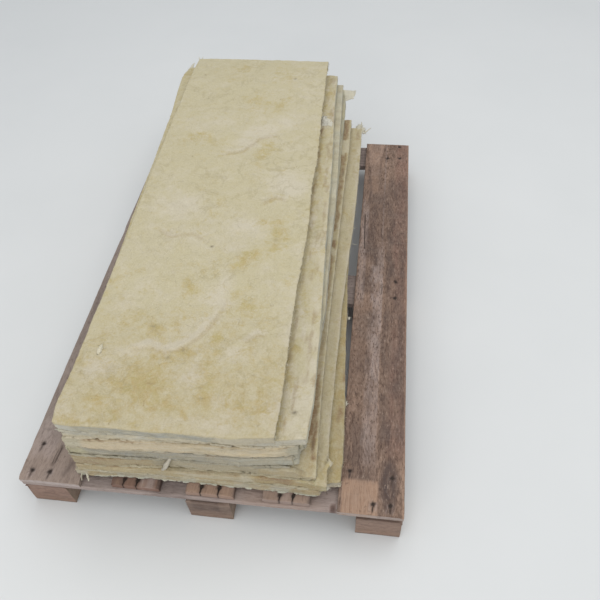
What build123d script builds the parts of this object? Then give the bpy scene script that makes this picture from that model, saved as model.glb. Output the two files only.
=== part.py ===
from build123d import *
import os

# ---------------------------------------------------------------------------
# Loose stack of glass-wool insulation slabs on a softwood block pallet.
# Millimetres. +Z up, +Y along the slabs towards the end that overhangs the
# pallet, +X to the right. Origin: centre of the underside of the centre block.
# ---------------------------------------------------------------------------

# --- pallet ----------------------------------------------------------------
PALLET_L = 1200.0          # along Y
PALLET_W = 800.0           # along X
BLOCK_H = 78.0
CROSS_T = 16.0
DECK_T = 16.0
Z_CROSS = BLOCK_H
Z_DECK = BLOCK_H + CROSS_T
Z_TOP = Z_DECK + DECK_T    # top of the deck boards, 110

OUTER_BOARD_W = 133.0
HALF_L = PALLET_L / 2
HALF_W = PALLET_W / 2

# deck boards: name, x low, x high, y near end, y far end
DECK_BOARDS = [
    ("deck_board_left", -HALF_W, -HALF_W + OUTER_BOARD_W, -HALF_L, HALF_L - 2),
    ("deck_board_2", -201.0, -98.0, -HALF_L + 8, HALF_L),
    ("deck_board_3", -43.0, 58.0, -HALF_L + 8, HALF_L - 1),
    ("deck_board_4", 115.0, 213.0, -HALF_L + 10, HALF_L - 2),
    ("deck_board_right", HALF_W - OUTER_BOARD_W, HALF_W, -HALF_L, HALF_L),
]

# cross boards, under the deck boards: name, four plan corners
# (near left, near right, far right, far left); the near one lies a little askew
CROSS_BOARDS = [
    ("cross_board_near", [(-399, -599), (399, -591), (399, -494), (-399, -502)]),
    ("cross_board_middle", [(-400, -54), (400, -56), (400, 43), (-400, 45)]),
    ("cross_board_far", [(-398, 505), (400, 504), (400, 599), (-398, 600)]),
]

BLOCK_W = 94.0             # across X
BLOCK_L = 94.0             # along Y
BLOCK_X = {"left": -HALF_W + BLOCK_W / 2, "centre": 0.0, "right": HALF_W - BLOCK_W / 2}
BLOCK_Y = {"near": -HALF_L + 1 + BLOCK_L / 2, "middle": -4.0, "far": HALF_L - 1 - BLOCK_L / 2}

# --- nails -----------------------------------------------------------------
NAIL_R = 1.6
NAIL_HEAD_R = 3.6
NAIL_HEAD_T = 1.4
NAIL_LONG = 55.0           # through deck and cross board into a block
NAIL_SHORT = 31.0          # deck and cross board only
NAIL_FIT = 0.05            # radial room round the shank and the head

NAIL_SPOTS = {             # plan positions of the heads
    "deck_board_left": [(-376, -579), (-337, -578), (-375, -518),
                        (-374, 22), (-335, -31), (-330, 24),
                        (-372, 588), (-335, 530), (-374, 527)],
    "deck_board_2": [(-174, -578), (-146, -577), (-176, -20), (-128, 18),
                     (-176, 560), (-126, 572)],
    "deck_board_3": [(-11, -576), (26, -574), (-14, 20), (28, -26),
                     (-12, 572), (30, 558)],
    "deck_board_4": [(151, -578), (178, -575), (140, -22), (188, 16),
                     (142, 558), (190, 572)],
    "deck_board_right": [(338, -577), (372, -577), (288, -512), (374, -519),
                         (370, 16), (369, -39),
                         (371, 589), (335, 528), (373, 531)],
}

# --- glass-wool slabs ------------------------------------------------------
# z levels of the faces between slabs, from the deck up
SLAB_Z = [Z_TOP, 132.0, 158.0, 190.0, 223.0, 256.0, 280.0, 310.0]

# the far end of the long slabs hangs past the pallet and sags: (y, drop)
SAG = [(600.0, 0.0), (650.0, 1.5), (700.0, 5.0), (760.0, 10.5), (800.0, 15.0)]

# plan outline of each slab, from the near left corner, right edge first
SLAB_PLAN = {
    "insulation_slab_1": [(-276, -577), (228, -574), (234, -557), (272, -550), (266, -374),
                          (256, -197), (252, -97), (246, 10), (240, 300), (236, 598),
                          (-279, 603)],
    "insulation_slab_2": [(-268, -575), (226, -570), (245, -571), (241, -500), (240, -400), (240, -130), (242, -60),
                          (247, 94), (250, 180), (252, 390), (251, 460), (250, 613), (-282, 617)],
    "insulation_slab_3": [(-267, -572), (223, -560), (218, -420), (215, -190), (215, 170),
                          (217, 454), (215, 608), (-284, 604)],
    "insulation_slab_4": [(-269, -574), (178, -551), (192, -350), (199, -150), (200, 85),
                          (199, 260), (197, 440), (194, 600), (183, 735), (-291, 738)],
    "insulation_slab_5": [(-266, -569), (188, -538), (201, -360), (208, -213), (204, -78), (203, 112),
                          (198, 290), (193, 400), (187, 558), (181, 703), (-299, 712)],
    "insulation_slab_6": [(-261, -566), (199, -533), (209, -452), (205, -284), (196, -89),
                          (186, 164), (179, 330), (167, 546), (162, 716), (-316, 748),
                          (-329, 700), (-327, 640), (-312, 470), (-304, 250), (-301, 105), (-294, -40), (-286, -200)],
    "insulation_slab_7": [(-270, -567), (70, -563), (149, -552), (150, -429), (148, -312), (146, -190),
                          (150, -96), (150, 16), (143, 136), (144, 179), (146, 232),
                          (142, 336), (138, 440), (135, 576), (130, 753), (-285, 752),
                          (-284, 400), (-280, 100), (-275, -110), (-271, -380), (-274, -510)],
}

os.makedirs("parts", exist_ok=True)


def save(name, shape):
    shape.label = name
    export_step(shape, "parts/%s.step" % name)


def nail_cutter(spots, z_low, z_high):
    """Shank holes from z_low to z_high, with the head's seat when the top is reached."""
    out = []
    for x, y in spots:
        out.append(Pos(x, y, (z_low + z_high) / 2) *
                   Cylinder(NAIL_R + NAIL_FIT, z_high - z_low))
    return out


all_spots = [(x, y) for spots in NAIL_SPOTS.values() for x, y in spots]


def over_block(x, y):
    return any(abs(x - bx) < BLOCK_W / 2 - 6 and abs(y - by) < BLOCK_L / 2 - 6
               for bx in BLOCK_X.values() for by in BLOCK_Y.values())


# --- deck boards -----------------------------------------------------------
for name, x0, x1, y0, y1 in DECK_BOARDS:
    board = Pos((x0 + x1) / 2, (y0 + y1) / 2, Z_DECK + DECK_T / 2) * Box(x1 - x0, y1 - y0, DECK_T)
    spots = NAIL_SPOTS[name]
    cuts = nail_cutter(spots, Z_DECK - 1, Z_TOP + 1)
    cuts += [Pos(x, y, Z_TOP - NAIL_HEAD_T / 2 + 0.5) *
             Cylinder(NAIL_HEAD_R + NAIL_FIT, NAIL_HEAD_T + 1.0) for x, y in spots]
    for c in cuts:
        board = board - c
    save(name, board)

# --- cross boards ----------------------------------------------------------
for name, plan in CROSS_BOARDS:
    ys = [p[1] for p in plan]
    board = Pos(0, 0, Z_CROSS) * extrude(make_face(Polyline(*plan, close=True)), CROSS_T)
    spots = [(x, y) for x, y in all_spots if min(ys) < y < max(ys)]
    for c in nail_cutter(spots, Z_CROSS - 1, Z_DECK + 1):
        board = board - c
    save(name, board)

# --- blocks ----------------------------------------------------------------
for row, by in BLOCK_Y.items():
    for col, bx in BLOCK_X.items():
        block = Pos(bx, by, BLOCK_H / 2) * Box(BLOCK_W, BLOCK_L, BLOCK_H)
        z_tip = Z_TOP - NAIL_LONG - 0.5
        for x, y in all_spots:
            if over_block(x, y) and abs(x - bx) < BLOCK_W / 2 and abs(y - by) < BLOCK_L / 2:
                block = block - Pos(x, y, (z_tip + BLOCK_H + 1) / 2) * Cylinder(
                    NAIL_R + NAIL_FIT, BLOCK_H + 1 - z_tip)
        save("block_%s_%s" % (row, col), block)

# --- nails -----------------------------------------------------------------
nails = []
for x, y in all_spots:
    length = NAIL_LONG if over_block(x, y) else NAIL_SHORT
    shank = Pos(x, y, Z_TOP - length / 2) * Cylinder(NAIL_R, length)
    head = Pos(x, y, Z_TOP - NAIL_HEAD_T / 2) * Cylinder(NAIL_HEAD_R, NAIL_HEAD_T)
    nails.append(shank + head)
save("deck_nails", Compound(children=nails))


# --- slabs -----------------------------------------------------------------
def slab(k, plan):
    """Side profile between faces k and k+1, pulled across X, trimmed to the plan outline."""
    z0, z1 = SLAB_Z[k], SLAB_Z[k + 1]
    line = [(-700.0, 0.0)] + SAG
    top = [(y, z1 - d) for y, d in line]
    low = [(y, z0 - d) for y, d in reversed(line)]
    side = Plane.YZ * make_face(Polyline(*(top + low), close=True))
    band = extrude(side, 500.0, both=True)
    prism = Pos(0, 0, Z_TOP - 40) * extrude(make_face(Polyline(*plan, close=True)), 400.0)
    return band & prism


for k, (name, plan) in enumerate(SLAB_PLAN.items()):
    save(name, slab(k, plan))
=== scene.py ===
import math

import bpy
import numpy as np
from mathutils import Matrix, Vector


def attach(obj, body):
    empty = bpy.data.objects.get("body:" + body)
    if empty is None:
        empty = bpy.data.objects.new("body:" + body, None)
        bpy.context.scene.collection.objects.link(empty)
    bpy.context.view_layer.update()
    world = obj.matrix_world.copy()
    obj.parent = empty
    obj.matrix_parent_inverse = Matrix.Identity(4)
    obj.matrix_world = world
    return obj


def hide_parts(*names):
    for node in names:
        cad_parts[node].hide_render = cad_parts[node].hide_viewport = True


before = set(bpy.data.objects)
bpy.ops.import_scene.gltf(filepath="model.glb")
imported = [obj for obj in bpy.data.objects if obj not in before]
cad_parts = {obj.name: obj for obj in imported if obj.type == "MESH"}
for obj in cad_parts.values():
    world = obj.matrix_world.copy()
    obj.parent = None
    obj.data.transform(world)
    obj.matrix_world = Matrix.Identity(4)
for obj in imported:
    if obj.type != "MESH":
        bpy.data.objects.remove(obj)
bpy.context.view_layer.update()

MM = 0.001

# ---------------------------------------------------------------------------
# Seeded noise
# ---------------------------------------------------------------------------


def cell(ix, iy, iz, seed):
    h = ix.astype(np.int64).astype(np.uint32) * np.uint32(0x9E3779B1)
    h ^= iy.astype(np.int64).astype(np.uint32) * np.uint32(0x85EBCA77)
    h ^= iz.astype(np.int64).astype(np.uint32) * np.uint32(0xC2B2AE3D)
    h ^= np.uint32((seed * 0x27D4EB2F) & 0xFFFFFFFF)
    h ^= h >> np.uint32(15)
    h *= np.uint32(0x2C1B3C6D)
    h ^= h >> np.uint32(12)
    h *= np.uint32(0x297A2D39)
    h ^= h >> np.uint32(15)
    return h.astype(np.float64) / 4294967295.0


def vnoise(x, y, z=0.0, seed=1):
    """Smooth value noise, -1 to 1."""
    x, y, z = np.broadcast_arrays(*(np.asarray(a, float) for a in (x, y, z)))
    flat = not np.any(z)
    fx, fy, fz = np.floor(x), np.floor(y), np.floor(z)
    tx, ty, tz = x - fx, y - fy, z - fz
    tx = tx * tx * tx * (tx * (6 * tx - 15) + 10)
    ty = ty * ty * ty * (ty * (6 * ty - 15) + 10)
    tz = tz * tz * (3 - 2 * tz)

    def plane(k):
        a = cell(fx, fy, fz + k, seed) * (1 - tx) + cell(fx + 1, fy, fz + k, seed) * tx
        b = cell(fx, fy + 1, fz + k, seed) * (1 - tx) + cell(fx + 1, fy + 1, fz + k, seed) * tx
        return a * (1 - ty) + b * ty

    v = plane(0) if flat else plane(0) * (1 - tz) + plane(1) * tz
    return v * 2 - 1


def fbm(x, y, z=0.0, seed=1, octaves=3, gain=0.5):
    total, amp, norm, f = 0.0, 1.0, 0.0, 1.0
    for i in range(octaves):
        total = total + amp * vnoise(x * f, y * f, z * f if np.any(z) else 0.0, seed + 31 * i)
        norm += amp
        amp *= gain
        f *= 2.07
    return total / norm


def step(a, b, x):
    t = np.clip((x - a) / (b - a), 0, 1)
    return t * t * (3 - 2 * t)


# ---------------------------------------------------------------------------
# Mesh helpers, in millimetres
# ---------------------------------------------------------------------------


def build(name, co, loops, starts, masks=None, uv=None, smooth=True):
    """A mesh object from vertices, a flat list of corner indices and the first corner of each face."""
    me = bpy.data.meshes.new(name)
    co = np.asarray(co, np.float32) * MM
    loops = np.asarray(loops, np.int32)
    starts = np.asarray(starts, np.int32)
    me.vertices.add(len(co))
    me.vertices.foreach_set("co", co.ravel())
    me.loops.add(len(loops))
    me.loops.foreach_set("vertex_index", loops)
    me.polygons.add(len(starts))
    me.polygons.foreach_set("loop_start", starts)
    me.update(calc_edges=True)
    if smooth:
        me.polygons.foreach_set("use_smooth", np.ones(len(starts), bool))
    for key, val in (masks or {}).items():
        at = me.attributes.new(key, "FLOAT_COLOR", "POINT")
        at.data.foreach_set("color", np.asarray(val, np.float32).ravel())
    if uv is not None:
        layer = me.uv_layers.new(name="OFBake")
        layer.data.foreach_set("uv", np.asarray(uv, np.float32).ravel())
    me.validate()
    ob = bpy.data.objects.new(name, me)
    bpy.context.scene.collection.objects.link(ob)
    return ob


def along(points, f):
    """Points of a polyline at fractions f of its length."""
    p = np.array(points, float)
    seg = np.sqrt((np.diff(p, axis=0) ** 2).sum(1))
    s = np.r_[0, np.cumsum(seg)] / seg.sum()
    return np.stack([np.interp(f, s, p[:, i]) for i in range(p.shape[1])], 1)


def lines(total, rim, pitch, zones=()):
    """Positions from 0 to total: fine at both ends, at the pitch of the zone (lo, hi, pitch) or else at pitch."""
    out = [0.0]
    tail = [total - r for r in reversed(rim)] + [total]
    for r in rim:
        out.append(r)
    while True:
        p = pitch
        for lo, hi, q in zones:
            if lo - 0.5 * q <= out[-1] < hi:
                p = min(p, q)
            elif out[-1] < lo < out[-1] + p:
                p = min(p, max(lo - out[-1], q))
        nxt = out[-1] + p
        if nxt > tail[0] - 0.4 * p:
            break
        out.append(nxt)
    return np.array(out + tail) / total


def coons(near, right, far, left, u, v):
    """Points of the patch inside four edges: near and far from left to right, left and right from near to far."""
    N, F, L, R = along(near, u), along(far, u), along(left, v), along(right, v)
    U, V = u[None, :, None], v[:, None, None]
    return ((1 - V) * N[None] + V * F[None] + (1 - U) * L[:, None] + U * R[:, None]
            - ((1 - U) * (1 - V) * N[0] + U * (1 - V) * N[-1] + (1 - U) * V * F[0] + U * V * F[-1]))


def every(pos, first, gap):
    """Indices of lines at least first from each end and gap apart."""
    out, last = [], -1e9
    total = pos[-1]
    for i, p in enumerate(pos):
        if p >= first and total - p >= first and p - last >= gap:
            out.append(i)
            last = p
    return out


def shell(P, ztop, zbot, rim, wall, layers=(0, .05, .13, .24, .37, .5, .63, .76, .87, .95, 1),
          low_rim=2.5, inset=3.5, coarse=13.0):
    """Closed skin: a fine top that turns down over its rim, walls in layers and a coarser underside.
    Returns the vertices, corners, face starts, and for each vertex its region (0 top, 1 wall, 2 underside), side and place on the wall."""
    nv, nu = P.shape[:2]
    X, Y = P[..., 0], P[..., 1]
    su = np.r_[0, np.cumsum(np.hypot(np.diff(X[nv // 2]), np.diff(Y[nv // 2])))]
    sv = np.r_[0, np.cumsum(np.hypot(np.diff(X[:, nu // 2]), np.diff(Y[:, nu // 2])))]
    d = np.minimum(np.minimum(su[None, :], su[-1] - su[None, :]), np.minimum(sv[:, None], sv[-1] - sv[:, None]))
    r = rim(X, Y)
    drop = r * (1 - np.sqrt(np.clip(1 - np.clip(1 - d / r, 0, 1) ** 2, 0, 1)))
    Z = ztop(X, Y) - drop

    def ring(A):
        return np.concatenate([A[0, :-1], A[:-1, -1], A[-1, :0:-1], A[:0:-1, 0]])

    idx = np.arange(nv * nu).reshape(nv, nu)
    ring0 = ring(idx)
    n = len(ring0)
    rx, ry, rz = ring(X), ring(Y), ring(Z)
    side = np.concatenate([np.full(nu - 1, 0), np.full(nv - 1, 1), np.full(nu - 1, 2), np.full(nv - 1, 3)])
    tx = np.roll(rx, -1) - np.roll(rx, 1)
    ty = np.roll(ry, -1) - np.roll(ry, 1)
    for _ in range(2):
        tx = (np.roll(tx, 1) + 2 * tx + np.roll(tx, -1)) / 4
        ty = (np.roll(ty, 1) + 2 * ty + np.roll(ty, -1)) / 4
    ln = np.hypot(tx, ty) + 1e-9
    nx, ny = ty / ln, -tx / ln
    co = [np.stack([X, Y, Z], -1).reshape(-1, 3)]
    region = [np.zeros(nv * nu)]
    depth = [np.zeros(nv * nu)]
    sides = [np.full(nv * nu, -1)]
    rows = [ring0]
    count = nv * nu
    zb0 = zbot(rx, ry) + low_rim * (1.0 + 0.45 * vnoise(rx / 21.0, ry / 21.0, seed=5))
    for j, t in enumerate(layers[1:]):
        z = rz * (1 - t) + zb0 * t
        off = wall(rx, ry, z, t, side, nx, ny)
        co.append(np.stack([rx + nx * off, ry + ny * off, z], 1))
        rows.append(np.arange(count, count + n))
        count += n
        region.append(np.ones(n))
        depth.append(np.full(n, t))
        sides.append(side)
    last = co[-1]
    ix, iy = last[:, 0] - nx * inset, last[:, 1] - ny * inset
    co.append(np.stack([ix, iy, zbot(ix, iy)], 1))
    rows.append(np.arange(count, count + n))
    inner = rows[-1]
    count += n
    region.append(np.full(n, 2.0))
    depth.append(np.ones(n))
    sides.append(side)
    iu, iv = every(su, inset + 4, coarse), every(sv, inset + 4, coarse)
    cx, cy = X[np.ix_(iv, iu)], Y[np.ix_(iv, iu)]
    co.append(np.stack([cx, cy, zbot(cx, cy)], -1).reshape(-1, 3))
    cid = np.arange(count, count + len(iu) * len(iv)).reshape(len(iv), len(iu))
    region.append(np.full(cid.size, 2.0))
    depth.append(np.ones(cid.size))
    sides.append(np.full(cid.size, -1))

    quads = [np.stack([idx[:-1, :-1], idx[:-1, 1:], idx[1:, 1:], idx[1:, :-1]], -1).reshape(-1, 4)]
    for a, b in zip(rows[:-1], rows[1:]):
        quads.append(np.stack([a, b, np.roll(b, -1), np.roll(a, -1)], 1))
    quads.append(np.stack([cid[:-1, :-1], cid[1:, :-1], cid[1:, 1:], cid[:-1, 1:]], -1).reshape(-1, 4))
    quads = np.concatenate(quads)
    polys = []

    def at_near(j): return j % n
    def at_right(i): return nu - 1 + i
    def at_far(j): return nu - 1 + nv - 1 + (nu - 1 - j)
    def at_left(i): return (2 * (nu - 1) + nv - 1 + (nv - 1 - i)) % n
    u0, u1, v0, v1 = iu[0], iu[-1], iv[0], iv[-1]
    for a, b, ca, cb in zip(iu[:-1], iu[1:], range(len(iu) - 1), range(1, len(iu))):
        polys.append([inner[at_near(j)] for j in range(a, b + 1)] + [cid[0, cb], cid[0, ca]])
        polys.append([inner[at_far(j)] for j in range(b, a - 1, -1)] + [cid[-1, ca], cid[-1, cb]])
    for a, b, ca, cb in zip(iv[:-1], iv[1:], range(len(iv) - 1), range(1, len(iv))):
        polys.append([inner[at_right(i)] for i in range(a, b + 1)] + [cid[cb, -1], cid[ca, -1]])
        polys.append([inner[at_left(i)] for i in range(b, a - 1, -1)] + [cid[ca, 0], cid[cb, 0]])
    polys.append([inner[at_left(i)] for i in range(v0, 0, -1)] + [inner[at_near(j)] for j in range(0, u0 + 1)] + [cid[0, 0]])
    polys.append([inner[at_near(j)] for j in range(u1, nu - 1)] + [inner[at_right(i)] for i in range(0, v0 + 1)] + [cid[0, -1]])
    polys.append([inner[at_right(i)] for i in range(v1, nv - 1)] + [inner[at_far(j)] for j in range(nu - 1, u1 - 1, -1)] + [cid[-1, -1]])
    polys.append([inner[at_far(j)] for j in range(u0, 0, -1)] + [inner[at_left(i)] for i in range(nv - 1, v1 - 1, -1)] + [cid[-1, 0]])
    polys = [p[::-1] for p in polys]
    loops = np.concatenate([quads.ravel()] + [np.array(p) for p in polys])
    starts = np.r_[np.arange(len(quads)) * 4, len(quads) * 4 + np.r_[0, np.cumsum([len(p) for p in polys])[:-1]]]
    co = np.concatenate(co)
    info = {
        "region": np.concatenate(region), "depth": np.concatenate(depth), "side": np.concatenate(sides),
        "grid": (nv, nu), "ring": np.stack([rx, ry, rz], 1), "normal": np.stack([nx, ny], 1), "ring_side": side,
        "n_top": (nv - 1) * (nu - 1), "n_wall": n * len(layers), "n": n, "layers": len(layers),
    }
    return co, loops, starts, info


def layout(co, loops, starts, info):
    """A flat map of a shell: top and underside as seen from above, and the four walls as strips."""
    lo, hi = co.min(0), co.max(0)
    span = hi - lo
    swap = span[0] > span[1]
    a, b = (0, 1) if swap else (1, 0)
    tall = span[2]
    need = max(span[a], 2 * span[b] + 4 * tall + 40)
    k = 0.98 / need
    xy = co[loops]
    uv = np.stack([(xy[:, a] - lo[a]) * k, (xy[:, b] - lo[b]) * k], 1)
    nt = info["n_top"] * 4
    nw = info["n_wall"] * 4
    uv[nt + nw:, 1] += (span[b] + 8) * k
    n, m = info["n"], info["layers"]
    side = info["ring_side"]
    w = slice(nt, nt + nw)
    pts = xy[w].reshape(m, n, 4, 3)
    base = (2 * span[b] + 16) * k
    for s in range(4):
        sel = side == s
        axis = 0 if s in (0, 2) else 1
        u = (pts[:, sel, :, axis] - lo[axis]) * k
        v = (hi[2] - pts[:, sel, :, 2]) * k + base + s * (tall + 6) * k
        block = uv[w].reshape(m, n, 4, 2)
        block[:, sel, :, 0] = u
        block[:, sel, :, 1] = v
        uv[w] = block.reshape(-1, 2)
    return uv + 0.008


def tubes(root, head, length, radius, curl, seg=4, taper=0.8, kink=None):
    """Closed, tapered three-sided strands as vertices and triangles and quads."""
    root, head, curl = (np.asarray(a, float) for a in (root, head, curl))
    length, radius = np.asarray(length, float), np.asarray(radius, float)
    n = len(root)
    t = np.linspace(0, 1, seg + 1)
    head = head / (np.linalg.norm(head, axis=1, keepdims=True) + 1e-9)
    pts = root[:, None] + head[:, None] * (length[:, None] * t)[..., None] + curl[:, None] * (t ** 2)[None, :, None]
    if kink is not None:
        pts = pts + kink[:, None] * (np.sin(t * math.pi) * (1 - t))[None, :, None]
    tan = np.gradient(pts, axis=1)
    tan /= np.linalg.norm(tan, axis=2, keepdims=True) + 1e-9
    ref = np.where(np.abs(tan[..., 2:3]) > 0.9, np.array([1.0, 0, 0]), np.array([0, 0, 1.0]))
    a = np.cross(tan, ref)
    a /= np.linalg.norm(a, axis=2, keepdims=True) + 1e-9
    b = np.cross(tan, a)
    rr = radius[:, None] * (1 - taper * t ** 2)[None]
    out = []
    for k in range(3):
        ang = k * 2 * math.pi / 3
        out.append(pts + rr[..., None] * (math.cos(ang) * a + math.sin(ang) * b))
    co = np.stack(out, 2).reshape(-1, 3)
    base = (np.arange(n) * (seg + 1) * 3)[:, None, None]
    i = np.arange(seg)[None, :, None] * 3
    k = np.arange(3)[None, None, :]
    k2 = (k + 1) % 3
    q = np.stack(np.broadcast_arrays(base + i + k, base + i + k2, base + i + 3 + k2, base + i + 3 + k), -1).reshape(-1, 4)
    b0 = np.arange(n) * (seg + 1) * 3
    caps = np.concatenate([np.stack([b0 + 2, b0 + 1, b0], 1), np.stack([b0 + seg * 3, b0 + seg * 3 + 1, b0 + seg * 3 + 2], 1)])
    return co, q, caps


def join(parts):
    """Vertices, corners and starts of several (vertices, quads, triangles)."""
    co, loops, sizes, off = [], [], [], 0
    for c, q, tr in parts:
        co.append(c)
        loops += [(q + off).ravel(), (tr + off).ravel()]
        sizes += [np.full(len(q), 4), np.full(len(tr), 3)]
        off += len(c)
    sizes = np.concatenate(sizes)
    return np.concatenate(co), np.concatenate(loops), np.r_[0, np.cumsum(sizes)[:-1]]


def spots(x, y, table, seed, warp=10.0, grain=22.0):
    """Soft irregular patches from (x, y, half width, half length, strength)."""
    wx = x + warp * fbm(x / grain, y / grain, seed=seed, octaves=3)
    wy = y + warp * fbm(x / grain, y / grain, seed=seed + 7, octaves=3)
    keep = np.ones_like(x)
    for cx, cy, a, b, s in table:
        near = (np.abs(x - cx) < 3 * a + 25) & (np.abs(y - cy) < 3 * b + 25)
        if near.any():
            q = ((wx[near] - cx) / a) ** 2 + ((wy[near] - cy) / b) ** 2
            keep[near] *= 1 - s * np.exp(-0.8 * q)
    return 1 - keep


def near_line(x, y, pts, signed=False):
    """Distance to a polyline, and how far along it, 0 to 1."""
    best = np.full(x.shape, 1e9)
    where = np.zeros(x.shape)
    hand = np.ones(x.shape)
    p = np.array(pts, float)
    for i in range(len(p) - 1):
        dx, dy = p[i + 1] - p[i]
        t = np.clip(((x - p[i, 0]) * dx + (y - p[i, 1]) * dy) / (dx * dx + dy * dy), 0, 1)
        dd = np.hypot(x - p[i, 0] - t * dx, y - p[i, 1] - t * dy)
        m = dd < best
        best[m] = dd[m]
        where[m] = (i + t[m]) / (len(p) - 1)
        sign = np.sign(dx * (y - p[i, 1]) - dy * (x - p[i, 0]))
        hand[m] = sign[m]
    return (best * hand, where) if signed else (best, where)


# ---------------------------------------------------------------------------
# Node graphs
# ---------------------------------------------------------------------------


class Graph:
    def __init__(self, name):
        self.mat = bpy.data.materials.new(name)
        self.mat.use_nodes = True
        self.t = self.mat.node_tree
        self.t.nodes.clear()

    def node(self, kind, ins=None, **props):
        n = self.t.nodes.new(kind)
        for k, v in props.items():
            setattr(n, k, v)
        for k, v in (ins or {}).items():
            if isinstance(v, bpy.types.NodeSocket):
                self.t.links.new(v, n.inputs[k])
            else:
                n.inputs[k].default_value = v
        return n

    def math(self, op, a, b=0.0, clamp=False):
        return self.node("ShaderNodeMath", {0: a, 1: b}, operation=op, use_clamp=clamp).outputs[0]

    def add(self, a, b, clamp=False):
        return self.math("ADD", a, b, clamp)

    def mul(self, a, b, clamp=False):
        return self.math("MULTIPLY", a, b, clamp)

    def mix(self, fac, a, b, blend="MIX"):
        n = self.node("ShaderNodeMix", data_type="RGBA", blend_type=blend)
        for i, v in ((0, fac), (6, a), (7, b)):
            if isinstance(v, bpy.types.NodeSocket):
                self.t.links.new(v, n.inputs[i])
            elif i == 0:
                n.inputs[i].default_value = v
            else:
                n.inputs[i].default_value = (*v, 1.0)
        return n.outputs[2]

    def vec(self, v, scale=(1, 1, 1), move=(0, 0, 0), turn=(0, 0, 0)):
        return self.node("ShaderNodeMapping", {"Vector": v, "Scale": scale, "Location": move, "Rotation": turn}).outputs[0]

    def noise(self, v, scale, detail=3.0, rough=0.55, distort=0.0, out=0):
        return self.node("ShaderNodeTexNoise", {"Vector": v, "Scale": scale, "Detail": detail, "Roughness": rough,
                                                "Distortion": distort}, noise_dimensions="3D").outputs[out]

    def ramp(self, f, a, b, lo=0.0, hi=1.0):
        return self.node("ShaderNodeMapRange", {"Value": f, "From Min": a, "From Max": b, "To Min": lo, "To Max": hi},
                         interpolation_type="SMOOTHSTEP", clamp=True).outputs[0]

    def warp(self, v, scale, size):
        c = self.noise(v, scale, 2.0, 0.5, out=1)
        d = self.node("ShaderNodeVectorMath", {0: c, 1: (0.5, 0.5, 0.5)}, operation="SUBTRACT").outputs[0]
        s = self.node("ShaderNodeVectorMath", {0: d, "Scale": size}, operation="SCALE").outputs[0]
        return self.node("ShaderNodeVectorMath", {0: v, 1: s}, operation="ADD").outputs[0]

    def masks(self, name):
        a = self.node("ShaderNodeAttribute", attribute_type="GEOMETRY", attribute_name=name)
        s = self.node("ShaderNodeSeparateColor", {"Color": a.outputs["Color"]})
        return s.outputs[0], s.outputs[1], s.outputs[2], a.outputs["Alpha"]

    def finish(self, color, rough, height, distance, strength=1.0, specular=0.3, **more):
        ins = {"Base Color": color, "Roughness": rough, "Specular IOR Level": specular}
        ins.update(more)
        bump = self.node("ShaderNodeBump", {"Height": height, "Strength": strength, "Distance": distance})
        ins["Normal"] = bump.outputs[0]
        p = self.node("ShaderNodeBsdfPrincipled", ins)
        out = self.node("ShaderNodeOutputMaterial")
        self.t.links.new(p.outputs[0], out.inputs[0])
        return self.mat


CREAM = (0.455, 0.402, 0.262)
PALE = (0.502, 0.450, 0.345)
OCHRE = (0.402, 0.312, 0.140)
OLIVE = (0.395, 0.328, 0.148)
BROWN = (0.232, 0.148, 0.078)
DARK = (0.075, 0.060, 0.038)


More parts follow.
